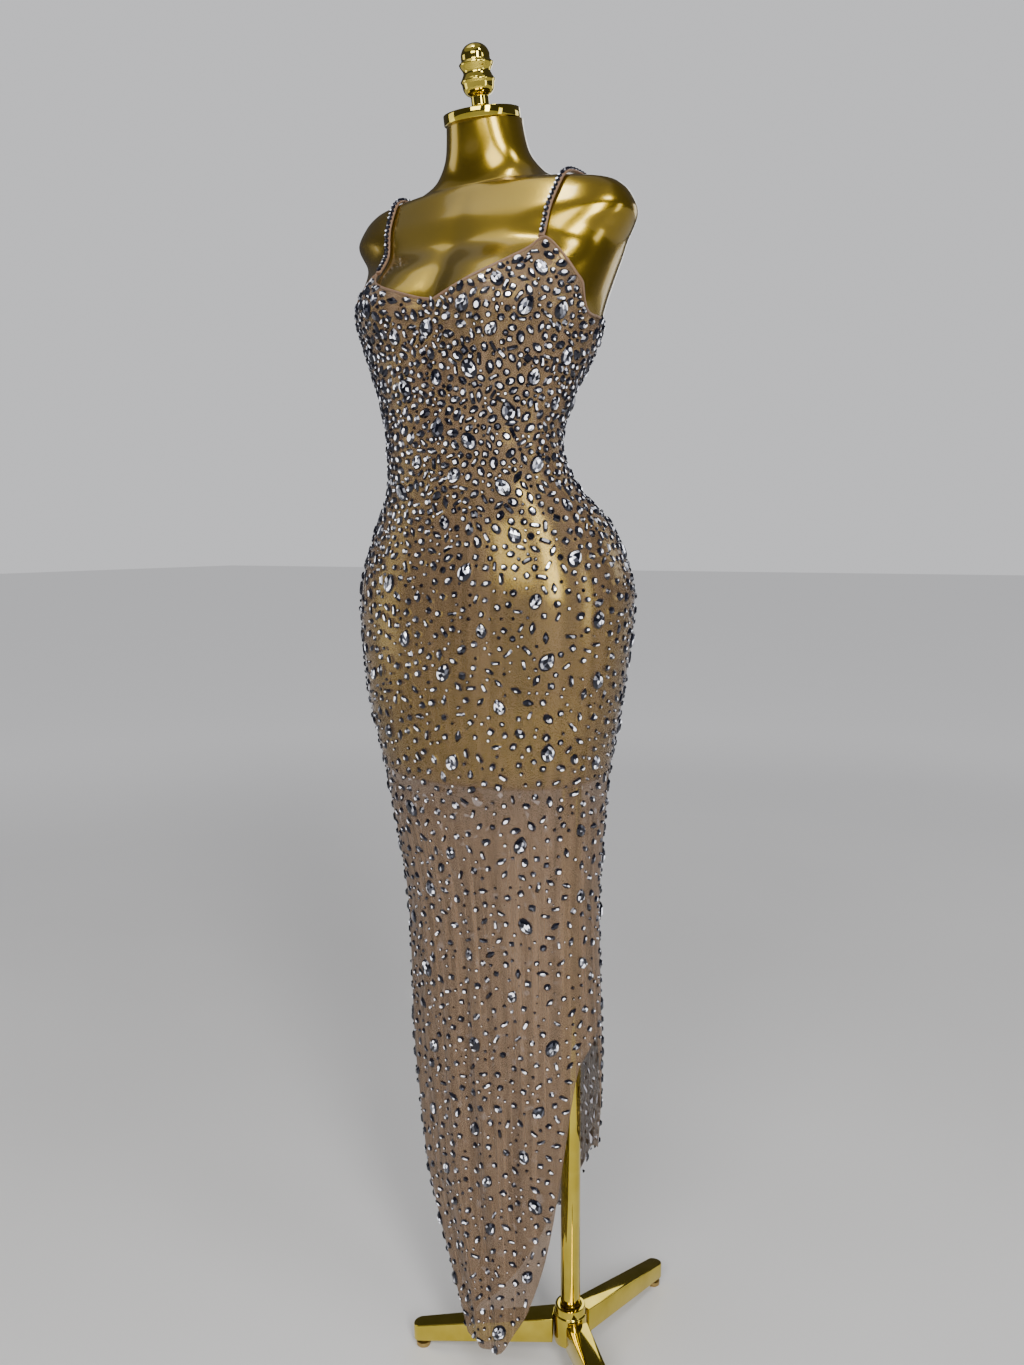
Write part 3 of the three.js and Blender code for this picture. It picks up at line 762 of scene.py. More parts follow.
STRAP_ENDS = {
    "strap_left": (50 + NECKLINE_TURN, 131 + NECKLINE_TURN),
    "strap_right": (-50 + NECKLINE_TURN, -131 + NECKLINE_TURN),
}
straps, strap_lines = [], {}
for node, ends in STRAP_ENDS.items():
    path, across, _ = strap_lines[node] = strap_line(*ends, STRAP_TOP_X[node])
    sizes = (STRAP["half_width"] - 0.4, STRAP["half_thickness"] - 0.2)
    strap = tube(node + "_tube", path, across, *sizes, sides=14)
    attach(strap, "root")
    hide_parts(node)
    straps.append(strap)
    report(strap)

# %% [markdown]
# The stones are foil-backed cut glass in a few cuts: pears, ovals, boat shapes, rounds,
# squares and small bars. Each cut is modelled once, one unit wide, long and high: a disc
# with a few corners is extruded up to its edge, drawn in to its crown, and ends in a flat
# table. Its outline is then pulled into shape.

# %% Cuts of the stones
def base_stone(name, sides, outline, rings):
    """A stone of unit size. outline moves a point of the rim, and rings are (share, height)."""
    start_piece()
    bpy.ops.mesh.primitive_circle_add(vertices=sides, radius=0.5, fill_type="NGON", location=(0, 0, 0))
    piece = bpy.context.object
    piece.name = name
    bpy.ops.object.mode_set(mode="EDIT")
    bpy.ops.mesh.select_all(action="SELECT")
    size, height = 1.0, 0.0
    for share, higher in rings:
        bpy.ops.mesh.extrude_region_move(TRANSFORM_OT_translate={"value": (0, 0, higher - height)})
        bpy.ops.transform.resize(value=(share / size, share / size, 1), center_override=(0, 0, higher))
        size, height = share, higher
    bpy.ops.mesh.poke()
    bpy.ops.mesh.select_all(action="SELECT")
    bpy.ops.mesh.normals_make_consistent(inside=False)
    bpy.ops.mesh.quads_convert_to_tris(quad_method="FIXED_ALTERNATE", ngon_method="BEAUTY")
    bpy.ops.object.mode_set(mode="OBJECT")
    mesh = piece.data
    for point in mesh.vertices:
        x, y = outline(point.co.x, point.co.y)
        point.co = (x, y, point.co.z)
    points = np.array([point.co for point in mesh.vertices])
    faces = np.array([list(face.vertices) for face in mesh.polygons])
    flat = np.array([face.normal.z > 0.98 for face in mesh.polygons])
    round_about = np.array([math.atan2(face.center.y, face.center.x) for face in mesh.polygons])
    rim = np.array([abs(face.normal.z) < 0.3 for face in mesh.polygons])
    bpy.data.objects.remove(piece)
    print("cut", name, "has", len(faces), "faces")
    return {"points": points, "faces": faces, "table": flat, "rim": rim, "turn": round_about}


def pear(x, y):
    return x * (1 - 0.55 * max(y, 0) / 0.5 * (0.4 + max(y, 0))), y


def boat(x, y):
    return x * (1 - 0.62 * (abs(y) / 0.5) ** 2), y


def as_drawn(x, y):
    return x, y


def squared(x, y):
    """Pulls a ring of points out to a square with cut corners."""
    angle = math.atan2(y, x)
    reach = math.hypot(x, y) / max(abs(math.cos(angle)), abs(math.sin(angle)), 0.80)
    return reach * math.cos(angle), reach * math.sin(angle)


# cut: corners, outline, rings as shares of the width and the height
CUT_TABLE = {
    "large_pear": (14, pear, [(1.0, 0.16), (0.80, 0.66), (0.52, 1.0)]),
    "large_oval": (12, as_drawn, [(1.0, 0.16), (0.80, 0.66), (0.52, 1.0)]),
    "pear": (9, pear, [(1.0, 0.16), (0.52, 1.0)]),
    "oval": (8, as_drawn, [(1.0, 0.16), (0.52, 1.0)]),
    "boat": (8, boat, [(1.0, 0.16), (0.45, 1.0)]),
    "round": (8, as_drawn, [(1.0, 0.16), (0.52, 1.0)]),
    "square": (8, squared, [(1.0, 0.16), (0.50, 1.0)]),
    "bar": (8, squared, [(1.0, 0.16), (0.58, 1.0)]),
    "bead": (6, as_drawn, [(0.55, 1.0)]),
    "seed": (5, as_drawn, [(0.45, 1.0)]),
}
CUTS = {name: base_stone(name, *row) for name, row in CUT_TABLE.items()}

# %% [markdown]
# The large stones sit close to the places that the solid model gives them. Two steps that
# never fall in line with each other spread them over the panel, one round the body and one
# down it. They lie closer together on the bodice than on the skirt.

# %% Places of the large stones
SPACING = {"high": 58, "low": 98, "high_from": 1280, "low_from": 1040}
STEP_ACROSS, STEP_DOWN, STONE_TRIES = 0.754878, 0.56984, 700
STONES_TOP, LARGE_MARGIN, LARGE_SWAY = 1400, 16, 0.65


def stone_spacing(z):
    high = smoothstep(z, SPACING["low_from"], SPACING["high_from"])
    return SPACING["low"] * (1 - high) + SPACING["high"] * high


def inside_panel(panel, degrees, z, margin):
    side = margin / skin_radius(degrees * DEG, z) / DEG
    inside = (degrees - side > panel["start"](z)) & (degrees + side < panel["end"](z))
    for at in (degrees - side, degrees, degrees + side):
        inside = inside & (z < panel["top"](at) - margin) & (z > panel["low"](at) + margin)
    return inside


def large_places(panel):
    start, end = (float(panel[side](np.float64(SLIT_TOP))) for side in ("start", "end"))
    places = []
    for k in range(1, STONE_TRIES + 1):
        degrees = start + (end - start) * (k * STEP_ACROSS % 1)
        z = STONES_TOP + (FRONT_HEM - STONES_TOP) * (k * STEP_DOWN % 1)
        radius = float(skin_radius(degrees * DEG, z))
        apart = [math.hypot((degrees - d) * DEG * radius, z - h) for d, h, _ in places]
        if min(apart, default=1e9) > stone_spacing(z) and inside_panel(panel, degrees, z, LARGE_MARGIN):
            places.append((degrees, z, LARGE_SWAY * math.sin(k * 1.7)))
    return places


front_large, back_large = large_places(FRONT), large_places(BACK)
print(len(front_large), "large stones in front and", len(back_large), "behind")

# %% [markdown]
# Between them come the smaller stones. Places are drawn at random and kept when they lie far
# enough from those already there, so the scatter is even but never regular. The distance
# grows from the bodice down to the hem, as on the real gown.

# %% Helpers for the scatter
random.seed(7)
chance = np.random.default_rng(7)


class Crowd:
    """Points in millimetres with a reach each, kept in cells so that neighbours are found fast."""

    def __init__(self, cell):
        self.cell, self.cells = cell, {}

    def key(self, point):
        return tuple(int(v // self.cell) for v in point)

    def near(self, point):
        a, b, c = self.key(point)
        steps = (-1, 0, 1)
        for key in ((a + i, b + j, c + k) for i in steps for j in steps for k in steps):
            yield from self.cells.get(key, ())

    def free(self, point, reach, gap):
        return all(math.dist(point, other) >= reach + far + gap for other, far in self.near(point))

    def add(self, point, reach):
        self.cells.setdefault(self.key(point), []).append((point, reach))


def thrown(panel, trim, low, high, margin, tries):
    """Random places on a panel: angles in degrees and heights, clear of its edges."""
    middle = 0 if panel is FRONT else 180
    degrees = chance.uniform(middle - 90 + trim, middle + 90 - trim, tries)
    z = chance.uniform(low, high, tries)
    fits = inside_panel(panel, degrees, z, margin)
    return degrees[fits], z[fits]


def cloth_axes(degrees, z):
    """Place on the cloth and its directions across, up and out, for arrays of places."""
    angle, step = degrees * DEG, 1.5
    radius = skin_radius(angle, z)
    middle = cloth_point(angle, z)
    across = cloth_point(angle + step / radius, z) - cloth_point(angle - step / radius, z)
    up = cloth_point(angle, z + step) - cloth_point(angle, z - step)
    out, across = unit(np.cross(across, up)), unit(across)
    return middle, across, np.cross(out, across), out


# %% Places of more large stones
DROP = {"tries": 4000, "margin": 11, "apart": 39, "more_below": 26, "sway": 0.7}
# clear reach round the first large stones, and how much it grows below the bodice
LARGE_REACH, MORE_BELOW, BODICE_FADE = 20, 13, (1040, 1200)


def drop_places(panel, crowd):
    """Places for more large stones, spread between those of the solid model."""
    kept = []
    for degrees, z in zip(*thrown(panel, 2, 80, STONES_TOP, DROP["margin"], DROP["tries"])):
        point = tuple(cloth_point(degrees * DEG, z))
        apart = DROP["apart"] + DROP["more_below"] * (1 - smoothstep(z, *BODICE_FADE))
        if crowd.free(point, apart / 2, 0):
            crowd.add(point, apart / 2)
            kept.append((float(degrees), float(z), random.uniform(-DROP["sway"], DROP["sway"])))
    return kept


large_crowd = Crowd(60.0)
for degrees, z, _ in front_large + back_large:
    reach = LARGE_REACH + MORE_BELOW * (1 - smoothstep(z, *BODICE_FADE))
    large_crowd.add(tuple(cloth_point(degrees * DEG, z)), float(reach))
front_drops, back_drops = (drop_places(panel, large_crowd) for panel in (FRONT, BACK))
print(len(front_drops), "more large stones in front and", len(back_drops), "behind")

# %% Places of the smaller stones
# height, clear cloth between neighbouring stones
SPREAD = [
    (60, 7.0), (450, 6.8), (800, 6.2), (900, 5.3), (1000, 4.3), (1080, 2.6), (1150, 0.8), (1250, 0.15),
    (1420, 0.15),
]
# cut: width, length, height, and how often it comes on the skirt, the hips and the bodice
SMALL = {
    "oval": (8.8, 12.2, 3.0, 0.5, 0.8, 3.0),
    "pear": (9.4, 14.0, 3.2, 0.7, 0.9, 3.0),
    "boat": (7.4, 14.0, 2.9, 2.4, 2.6, 3.0),
    "round": (8.0, 8.0, 2.7, 2.8, 3.2, 3.2),
    "square": (7.8, 7.8, 2.7, 2.0, 2.0, 1.2),
    "bar": (4.6, 12.4, 2.4, 2.6, 2.6, 1.4),
    "bead": (4.6, 4.6, 1.9, 1.5, 1.9, 3.6),
}
LARGE_PATCH, SMALL_MARGIN, BEAD_GAP = 8.5, 3.6, 0.6
BODICE, HEM = 1060, 60
# tries, lowest level, and whether beads come too: the crowded bodice is filled first and last
FRONT_PASSES = [(40000, BODICE, False), (36000, HEM, True), (12000, BODICE, True)]
BACK_PASSES = [(30000, BODICE, False), (36000, HEM, True), (10000, BODICE, True)]
spread_at = curve(SPREAD, 1)


def weights_at(z):
    hips, bodice = smoothstep(z, 760, 900), smoothstep(z, 1060, 1180)
    rows = np.array([values[3:] for values in SMALL.values()])
    mix = rows[:, 0] * (1 - hips) + rows[:, 1] * hips * (1 - bodice) + rows[:, 2] * bodice
    return mix / mix.sum()


def footprint(middle, across, up, turn, width, length):
    """One round patch that a stone covers, or three in a line under a long stone."""
    if length < 1.3 * width:
        return [(tuple(middle), (width + length) / 4)]
    ahead = up * math.cos(turn) - across * math.sin(turn)
    patches = ((-0.3, 0.36), (0, 0.47), (0.3, 0.36))
    return [(tuple(middle + ahead * length * share), width * size) for share, size in patches]


def scatter(panel, crowd, tries, lowest, beads):
    """Random places for smaller stones on a panel: cut, degrees, height, turn and size."""
    names, kept = list(SMALL), []
    degrees, z = thrown(panel, 0, lowest, 1425, SMALL_MARGIN, tries)
    middles, across, up, _ = cloth_axes(degrees, z)
    spacing = spread_at(z)
    for i in range(len(z)):
        name = random.choices(names, weights_at(z[i]))[0]
        size, turn = random.uniform(0.86, 1.16), random.uniform(0, 2 * math.pi)
        if name == "bead" and not beads:
            continue
        width, length = SMALL[name][0] * size, SMALL[name][1] * size
        patches = footprint(middles[i], across[i], up[i], turn, width, length)
        gap = spacing[i] * (BEAD_GAP if name == "bead" else 1.0)
        if all(crowd.free(point, reach, gap) for point, reach in patches):
            for point, reach in patches:
                crowd.add(point, reach)
            kept.append((name, float(degrees[i]), float(z[i]), turn, size))
    return kept


crowd = Crowd(20.0)
for degrees, z, _ in front_large + back_large + front_drops + back_drops:
    crowd.add(tuple(cloth_point(degrees * DEG, z)), LARGE_PATCH)
front_small = [place for row in FRONT_PASSES for place in scatter(FRONT, crowd, *row)]
back_small = [place for row in BACK_PASSES for place in scatter(BACK, crowd, *row)]
print(len(front_small), "smaller stones in front and", len(back_small), "behind")

# %% Places of the seed stones
SEED = {"tries": 600, "margin": 3.5, "reach": 1.0, "gap": 2.6}


def scatter_seeds(panel, crowd):
    """Tiny seed stones in the gaps, more of them on the skirt."""
    kept = []
    for degrees, z in zip(*thrown(panel, 1, 70, 1420, SEED["margin"], SEED["tries"])):
        point = tuple(cloth_point(degrees * DEG, z))
        if crowd.free(point, SEED["reach"], SEED["gap"]):
            crowd.add(point, SEED["reach"])
            turn, size = random.uniform(0, 2 * math.pi), random.uniform(0.8, 1.2)
            kept.append(("seed", float(degrees), float(z), turn, size))
    return kept


front_seeds, back_seeds = scatter_seeds(FRONT, crowd), scatter_seeds(BACK, crowd)
print(len(front_seeds), "seed stones in front and", len(back_seeds), "behind")

# %% [markdown]
# All stones of one kind of place are copies in one mesh. Each copy lies on the cloth: its
# own across, up and out directions come from the skin at that place. Every facet keeps a
# number of its own, from which the glass takes a painted brightness, a glint or a dark reflection.

# %% Setting the stones
# every stone's rim is painted dark: a painted shadow that outlines it
TONES, PAINTED_RIM_SHADE, TONE_NOISE = [0.03, 0.32, 0.62, 0.97], 0.15, 0.03
# size of stone: slices round its crown and its table, and how often each painted glint tone comes on the two
GLINTS = {
    "large": (11, 9, [0.40, 0.24, 0.14, 0.22], [0.58, 0.20, 0.08, 0.14]),
    "small": (5, 3, [0.28, 0.18, 0.16, 0.38], [0.34, 0.15, 0.13, 0.38]),
    "tiny": (3, 2, [0.46, 0.20, 0.12, 0.22], [0.42, 0.16, 0.10, 0.32]),
    "seed": (1, 1, [0.10, 0.30, 0.35, 0.25], [0.10, 0.25, 0.35, 0.30]),
}


def facet_tones(base, size):
    """A painted glint brightness for each facet. Neighbours round the stone share theirs, as mirrored light
    does.
    """
    crown_slices, table_slices, crown_shares, table_shares = GLINTS[size]
    crown = chance.choice(TONES, crown_slices, p=crown_shares)
    table = chance.choice(TONES, table_slices, p=table_shares)
    part = (base["turn"] / (2 * math.pi) + chance.uniform()) % 1
    on_table, on_crown = (part * table_slices).astype(int), (part * crown_slices).astype(int)
    tone = np.where(base["table"], table[on_table], crown[on_crown])
    return np.where(base["rim"], PAINTED_RIM_SHADE, tone + chance.uniform(-TONE_NOISE, TONE_NOISE, len(tone)))


def size_of(cut):
    return "large" if cut.startswith("large") else {"bead": "tiny", "seed": "seed"}.get(cut, "small")


def set_stones(name, stones):
    """stones are (cut, middle, across, up, out, turn, width, length, height, sink)."""
    all_points, all_faces, tones, shift = [], [], [], 0
    for cut, middle, across, up, out, turn, width, length, height, sink in stones:
        base = CUTS[cut]
        x, y, rise = (base["points"] * np.array([width, length, height])).T
        side = across * math.cos(turn) + up * math.sin(turn)
        ahead = up * math.cos(turn) - across * math.sin(turn)
        placed = middle + x[:, None] * side + y[:, None] * ahead + (rise - sink)[:, None] * out
        all_points.append(placed)
        all_faces.append(base["faces"] + shift)
        shift += len(placed)
        tones.append(facet_tones(base, size_of(cut)))
    points, faces = metres(np.vstack(all_points)), np.vstack(all_faces)
    start_piece()
    mesh = bpy.data.meshes.new(name)
    mesh.from_pydata(points.tolist(), [], faces.tolist())
    facet = mesh.attributes.new("facet", "FLOAT", "FACE")
    facet.data.foreach_set("value", np.clip(np.concatenate(tones), 0, 1))
    piece = bpy.data.objects.new(name, mesh)
    bpy.context.collection.objects.link(piece)
    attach(piece, "root")
    report(piece)
    return piece


def stones_on_cloth(places):
    degrees, z = np.array([p[1] for p in places]), np.array([p[2] for p in places])
    stones = []
    for place, *axes in zip(places, *cloth_axes(degrees, z)):
        name, _, _, turn, size, width, length, height, sink = place
        stones.append((name, *axes, turn, width * size, length * size, height * size, sink))
    return stones


# %% The stones on the cloth
# each row gives places their width, length, height and how deep they sink into the cloth
def large_row(places):
    cuts = ("large_oval", "large_pear", "large_pear")
    return [(cuts[i % 3], d, z, turn, 1.0, 17, 23, 4.3, 0.3) for i, (d, z, turn) in enumerate(places)]


def drop_row(places):
    cuts = ("large_oval", "large_pear", "large_pear", "large_pear")
    return [
        (cuts[i % 4], d, z, turn, random.uniform(0.85, 1.05), 15.5, 20.5, 4.0, 0.3)
        for i, (d, z, turn) in enumerate(places)
    ]


def small_row(places):
    return [(*place, *SMALL[place[0]][:3], 0.15) for place in places]


def seed_row(places):
    return [(*place, 2.1, 2.1, 1.3, 0.1) for place in places]


STONE_ROWS = [
    ("large", large_row, front_large, back_large),
    ("drop", drop_row, front_drops, back_drops),
    ("seed", seed_row, front_seeds, back_seeds),
    ("small", small_row, front_small, back_small),
]
stone_pieces = []
for kind, row, *both in STONE_ROWS:
    for side, places in zip(("front", "back"), both):
        stone_pieces.append(set_stones(f"{kind}_stones_{side}", stones_on_cloth(row(places))))

# %% Stones on the straps
ROW = {"start": 6.0, "end": 4, "step": 6.2, "width": 6.0, "height": 2.8}
strap_stones = []
for lines in strap_lines.values():
    reach = length_along(lines[0])
    for at in np.arange(ROW["start"], reach[-1] - ROW["end"], ROW["step"]):
        middle, side, out = (np.array([np.interp(at, reach, line[:, k]) for k in range(3)]) for line in lines)
        ahead = np.cross(out, side)
        top = middle + out * (STRAP["half_thickness"] - 0.2)
        size = (ROW["width"], ROW["width"], ROW["height"])
        strap_stones.append(("round", top, side, ahead, out, random.uniform(0, 1), *size, 0.2))
stone_pieces.append(set_stones("strap_stones", strap_stones))

# %% [markdown]
# The cap, the finial, the pole and the hub are turned on a lathe. Each is a disc that is
# extruded and resized from one height of its outline to the next, and all but the finial
# have their edges rounded.

# %% Neck cap and finial
CAP = {"radius": 43.5, "height": 11, "bevel": 0.0011}
# radius, height above the cap
FINIAL_OUTLINE = [
    (12.5, 0), (12.5, 4), (10, 6.5), (10, 15), (14.5, 18), (17.5, 23), (18.3, 28), (19.5, 31), (18, 33.5),
    (15.5, 39.5), (19.3, 48), (16.3, 51.5), (16.3, 56), (14.5, 61.5), (10.5, 66), (5.5, 68.3), (0.6, 69),
]


def on_neck(piece):
    """Moves a piece made upright at the origin onto the leaning neck."""
    piece.data.transform(Matrix.Translation(Vector(metres(NECK_TOP))) @ Matrix.Rotation(NECK_LEAN, 4, "X"))
    return piece


def turned_piece(name, columns, outline, node, centre=(0.0, 0.0), bevel=0.0005):
    piece = ring_stack(name, columns, [(r / 1000, h / 1000) for r, h in outline], centre)
    if bevel:
        add_modifier(piece, "BEVEL", width=bevel, segments=2, limit_method="ANGLE", angle_limit=35 * DEG)
    smooth(piece, 40)
    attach(piece, "root")
    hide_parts(node)
    report(piece)
    return piece


radius, height = CAP["radius"], CAP["height"]
cap_outline = [(radius, 0), (radius, height), (0.8, height)]
cap = on_neck(turned_piece("neck_cap_turned", 96, cap_outline, "neck_cap", bevel=CAP["bevel"]))


def finer(outline, rows):
    """More rings through a short outline, along its length, without losing its hollows."""
    points = np.array(outline, float)
    reach = length_along(points)
    at = np.unique(np.concatenate([np.linspace(0, reach[-1], rows), reach]))
    radius, height = (curve(list(zip(reach, points[:, k])), 1)(at) for k in (0, 1))
    return list(zip(radius, np.maximum.accumulate(height + np.arange(len(at)) * 1e-4)))


raised = [(r, h + height + SEAM_GAP) for r, h in finer(FINIAL_OUTLINE, 60)]
finial = on_neck(turned_piece("finial_turned", 64, raised, "finial", bevel=0))

# %% Pole and hub
HUB = {"radius": 21.5, "low": 37, "high": 76, "ring_radius": 19.6, "ring_high": 87, "floor": 44}
pole_outline = [(POLE["radius"], 46), (POLE["radius"], FORM_FLOOR + SOCKET)]
pole = turned_piece("pole_tube", 72, pole_outline, "pole", pole_middle)
bore = POLE["radius"] + PLAY
hub_outline = [
    (HUB["radius"], HUB["low"]), (HUB["radius"], HUB["high"]), (HUB["ring_radius"], HUB["high"] + 1),
    (HUB["ring_radius"], HUB["ring_high"]), (bore, HUB["ring_high"]), (bore, HUB["floor"]),
]
hub = turned_piece("hub_turned", 72, hub_outline, "hub", pole_middle)

# %% [markdown]
# A leg is a cast bar that slopes down from the hub and ends in a round tip. It starts as a
# cube whose corners go to their places. The two upright edges of the tip are bevelled into
# a half circle, and the underside is hollowed, as a casting is.

# %% Legs and pads
LEG = {
    "reach": 215, "hub_half": 15, "tip_half": 10, "hub_high": 72, "hub_low": 38, "tip_high": 31, "tip_low": 9,
    "wall": 2.5,
}
LEG_TURNS = {"leg_1": 199.6, "leg_2": 319.6, "leg_3": 79.6}
PAD = {"radius": 9.5, "height": 6, "stem": 4, "from": 202}
LEG_NEAR = HUB["radius"] + SEAM_GAP


def along_leg(x, at_hub, at_tip):
    return at_hub + (at_tip - at_hub) * (x - HUB["radius"]) / (LEG["reach"] - HUB["radius"])


def turned_out(turn):
    """From a leg drawn along X about the pole to its place."""
    return Matrix.Translation((*pole_middle, 0)) @ Matrix.Rotation(turn * DEG, 4, "Z")


def make_leg(node, turn):
    start_piece()
    bpy.ops.mesh.primitive_cube_add(size=2, location=(0, 0, 0))
    piece = bpy.context.object
    piece.name = piece.data.name = node + "_cast"
    for corner in piece.data.vertices:
        far, side, high = (value > 0 for value in corner.co)
        x = LEG["reach"] if far else LEG_NEAR
        y = (LEG["tip_half"] if far else LEG["hub_half"]) * (1 if side else -1)
        ends = ("hub_high", "tip_high") if high else ("hub_low", "tip_low")
        z = along_leg(x, *(LEG[end] for end in ends))
        corner.co = (x / 1000, y / 1000, z / 1000)
    tip = LEG["reach"] / 1000 - 0.001
    pick(piece, lambda middle, edge: middle.x > tip and abs(middle.y) > 0.005, "edges")
    bpy.ops.mesh.bevel(offset=LEG["tip_half"] / 1000 * 0.98, segments=12, affect="EDGES")
    pick(piece, lambda middle, face: face.normal.z < -0.7)
    bpy.ops.mesh.inset(thickness=LEG["wall"] / 1000)
    bpy.ops.mesh.extrude_region_move(TRANSFORM_OT_translate={"value": (0, 0, 0.012)})
    bpy.ops.object.mode_set(mode="OBJECT")
    add_modifier(piece, "BEVEL", width=0.0012, segments=3, limit_method="ANGLE", angle_limit=40 * DEG)
    smooth(piece, 35)
    piece.data.transform(turned_out(turn))
    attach(piece, "root")
    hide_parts(node)
    report(piece)
    return piece


def make_pad(node, turn):
    top = along_leg(PAD["from"], LEG["hub_high"], LEG["tip_high"]) - LEG["wall"] - 1.3
    outline = [
        (PAD["radius"], 0), (PAD["radius"], PAD["height"]), (PAD["stem"], PAD["height"]), (PAD["stem"], top),
    ]
    piece = turned_piece(node + "_turned", 40, outline, node)
    piece.data.transform(turned_out(turn) @ Matrix.Translation((PAD["from"] / 1000, 0, 0)))
    return piece


legs = [make_leg(node, turn) for node, turn in LEG_TURNS.items()]
pads = [make_pad(f"pad_{i + 1}", turn) for i, turn in enumerate(LEG_TURNS.values())]

# %% [markdown]
# The mesh is a fine stretch net that lets a good part of the light through. Its holes are
# under a millimetre wide, and each thread has a little sheen. The net's pattern follows the
# cloth by its own map, as do long light and dark lines painted into its colour: the painted
# light and shade of fine vertical creases. It looks denser on the bodice and below the form's
# edge, where nothing shines through it.

# %% Finish of the net
NET = {"cells": 1300.0, "thread": 0.22, "cover": 0.05, "reach": 1.5, "drawn": (110.0, 2.5, 1.0)}
# height in metres, share of the light that the net holds back
NET_DENSITY = [(0.74, 0.60), (0.84, 0.24), (1.04, 0.24), (1.20, 0.38)]
# colours of the net, with the painted light and shade of its vertical creases laid over them
NET_TINTS_AND_CREASE_SHADE = [(0.3, 0.135, 0.083, 0.043), (0.5, 0.195, 0.121, 0.067), (0.7, 0.260, 0.166, 0.098)]


def net_density(nodes, place, thread):
    """How much light the net holds back: by height, with slow clouds and each thread on top."""
    up = add(nodes, "SeparateXYZ", Vector=place).outputs["Z"]
    level = add(nodes, "MapRange", From_Max=NET["reach"], Value=up).outputs["Result"]
    hang = ramp(nodes, level, [(z / NET["reach"], value, value, value) for z, value in NET_DENSITY])
    clouds = add(nodes, "TexNoise", Scale=9.0, Detail=3.0, Vector=place).outputs["Fac"]
    uneven, dense = add(nodes, "Math", operation="ADD"), add(nodes, "Math", operation="MULTIPLY_ADD")
    dense.inputs[1].default_value = NET["cover"]
    link = uneven.id_data.links.new
    link(hang, uneven.inputs[0])
    link(map_range(nodes, clouds, -0.05, 0.05), uneven.inputs[1])
    link(thread, dense.inputs[0])
    link(uneven.outputs["Value"], dense.inputs[2])
    return dense.outputs["Value"]


def net_material():
    material, nodes, shader = new_material(
        "stretch_net", Roughness=0.62, Sheen_Weight=0.12, Sheen_Roughness=0.4)
    place = add(nodes, "TexCoord").outputs
    net = add(nodes, "TexVoronoi", feature="DISTANCE_TO_EDGE", Scale=NET["cells"], Vector=place["UV"])
    thread = add(
        nodes, "MapRange", From_Max=NET["thread"], To_Min=1.0, To_Max=0.0, Value=net.outputs["Distance"],
    ).outputs["Result"]
    # long light and dark lines of painted light and shade, for the net's fine vertical creases
    drawn = add(nodes, "Mapping", Scale=NET["drawn"], Vector=place["UV"])
    crease_shade_streaks = add(nodes, "TexNoise", Scale=1.0, Detail=3.0, Vector=drawn.outputs["Vector"])
    bump = add(nodes, "Bump", Strength=0.03, Distance=0.0003, Height=thread)
    feed(
        shader, Base_Color=ramp(nodes, crease_shade_streaks.outputs["Fac"], NET_TINTS_AND_CREASE_SHADE),
        Alpha=net_density(nodes, place["Object"], thread), Normal=bump.outputs["Normal"],
    )
    return material


dress([gown_front, gown_back], net_material())

# %% [markdown]
# The straps and the turned edges are the same nude colour but dense: a folded satin, with
# fine threads along it.

# %% Finish of the straps and edges
def satin_material():
    material, nodes, shader = new_material("nude_satin", Roughness=0.45, Sheen_Weight=0.1)
    place = add(nodes, "TexCoord").outputs["UV"]
    stretch = add(nodes, "Mapping", Scale=(60.0, 40.0, 1.0), Vector=place)
    threads = add(nodes, "TexNoise", Scale=12.0, Detail=2.0, Vector=stretch.outputs["Vector"]).outputs["Fac"]
    tint = ramp(nodes, threads, [(0.3, 0.13, 0.070, 0.035), (0.7, 0.18, 0.102, 0.056)])
    bump = add(nodes, "Bump", Strength=0.3, Distance=0.0004, Height=threads)
    feed(shader, Base_Color=tint, Normal=bump.outputs["Normal"])
    return material


dress(edges + straps, satin_material())

# %% [markdown]
# Foil behind the glass makes some facets mirror-bright and others almost black, with a cold
# blue cast. Here that is painted: each facet's own number picks a painted glint or dark
# reflection, the brightest facets glow, and none of it changes with the side it is seen from.

# %% Finish of the stones
GLASS_AND_PAINTED_REFLECTIONS = [
    (0.0, 0.004, 0.005, 0.012), (0.20, 0.016, 0.017, 0.028), (0.40, 0.19, 0.20, 0.25),
    (0.62, 0.60, 0.61, 0.68), (0.80, 0.97, 0.97, 1.0),
]
PAINTED_GLINT_GLOW = [(0.66, 0.0, 0.0, 0.0), (0.98, 0.84, 0.87, 1.0)]


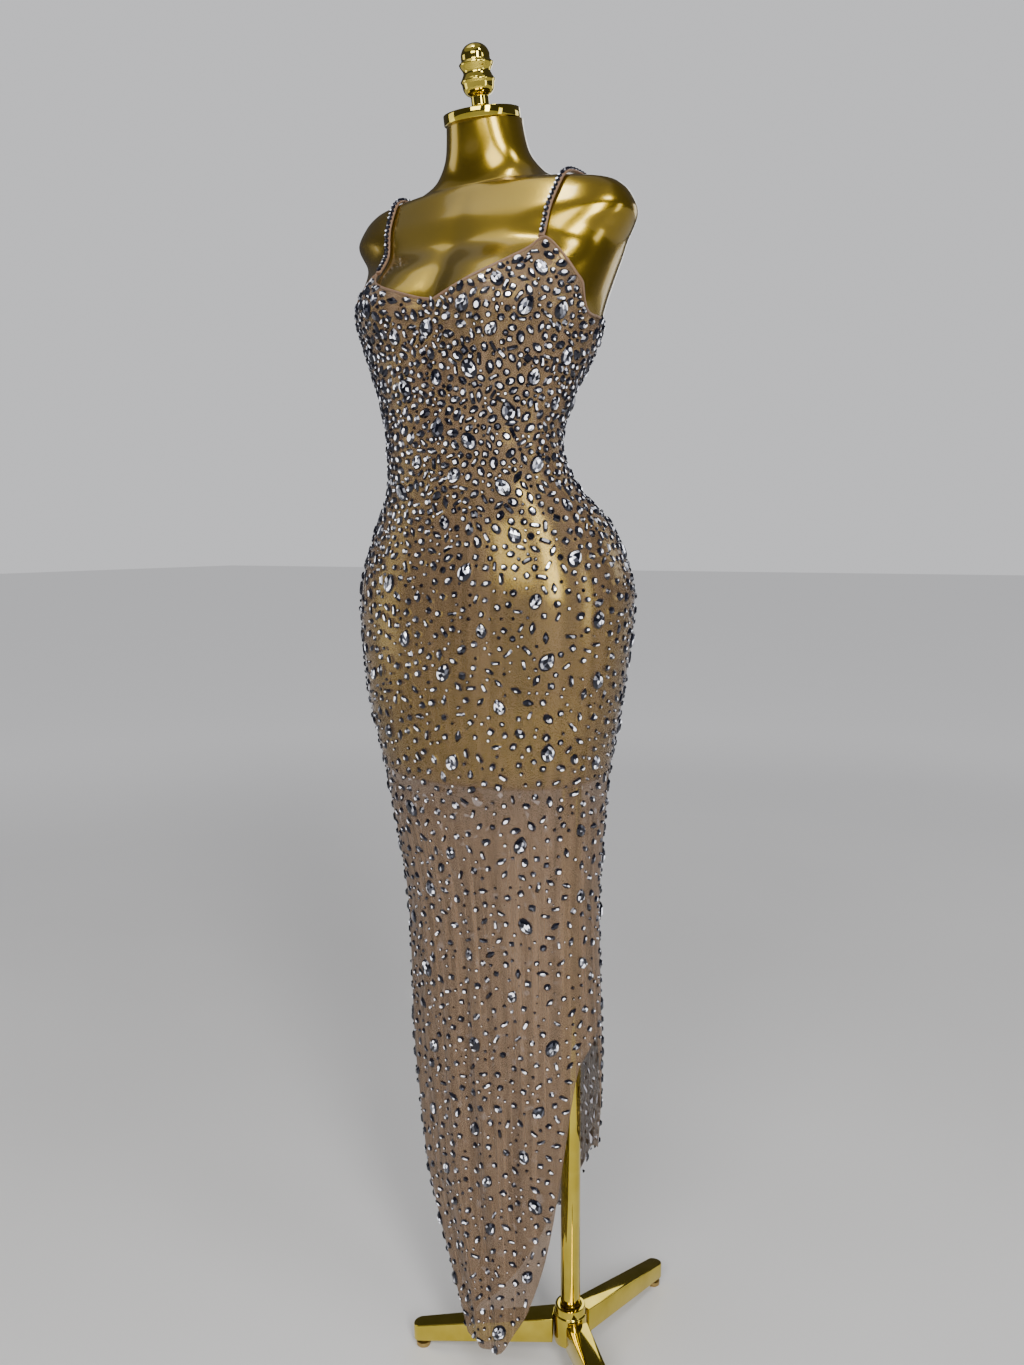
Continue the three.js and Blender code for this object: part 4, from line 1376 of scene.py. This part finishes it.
def crystal_material():
    material, nodes, shader = new_material(
        "foiled_glass_painted_glints", Metallic=0.5, Coat_Weight=0.35, Coat_Roughness=0.02, Emission_Strength=1.35)
    # each facet's number paints a glint or a dark reflection into the colour, and the brightest facets glow
    facet = add(nodes, "Attribute", attribute_name="facet").outputs["Fac"]
    feed(
        shader, Base_Color=ramp(nodes, facet, GLASS_AND_PAINTED_REFLECTIONS), Emission_Color=ramp(nodes, facet, PAINTED_GLINT_GLOW),
        Roughness=map_range(nodes, facet, 0.05, 0.22),
    )
    return material


dress(stone_pieces, crystal_material())

# %% [markdown]
# The form is sprayed with a glossy antique gold: a metal pigment under a clear coat, a
# little darker where the coat is thick. The stand and the cap are plated and polished.

# %% Finishes of the gold
def gold_paint_material():
    material, nodes, shader = new_material(
        "antique_gold_paint", Metallic=0.92, Coat_Weight=0.5, Coat_Roughness=0.08)
    place = add(nodes, "TexCoord").outputs["Object"]
    clouds = add(nodes, "TexNoise", Scale=5.0, Detail=4.0, Vector=place).outputs["Fac"]
    tint = ramp(nodes, clouds, [(0.3, 0.27, 0.180, 0.012), (0.7, 0.36, 0.245, 0.020)])
    flakes = add(nodes, "TexNoise", Scale=900.0, Detail=1.0, Vector=place).outputs["Fac"]
    bump = add(nodes, "Bump", Strength=0.02, Distance=0.0002, Height=flakes)
    rough = map_range(nodes, clouds, 0.19, 0.27)
    feed(shader, Base_Color=tint, Roughness=rough, Normal=bump.outputs["Normal"])
    return material


def plated_material(name, dark, light, least, most):
    """Polished metal with faint wiping marks."""
    material, nodes, shader = new_material(name, Metallic=1.0)
    place = add(nodes, "TexCoord").outputs["Object"]
    wiped = add(nodes, "TexNoise", Scale=28.0, Detail=5.0, Vector=place).outputs["Fac"]
    tint = ramp(nodes, wiped, [(0.3, *dark), (0.7, *light)])
    feed(shader, Base_Color=tint, Roughness=map_range(nodes, wiped, least, most))
    return material


dress([form], gold_paint_material())
plated = plated_material("polished_gold", (0.52, 0.40, 0.045), (0.66, 0.52, 0.085), 0.03, 0.09)
dress([cap, finial, pole, hub, *legs], plated)
dress(pads, plated_material("satin_gold_plastic", (0.40, 0.28, 0.10), (0.48, 0.34, 0.13), 0.35, 0.5))
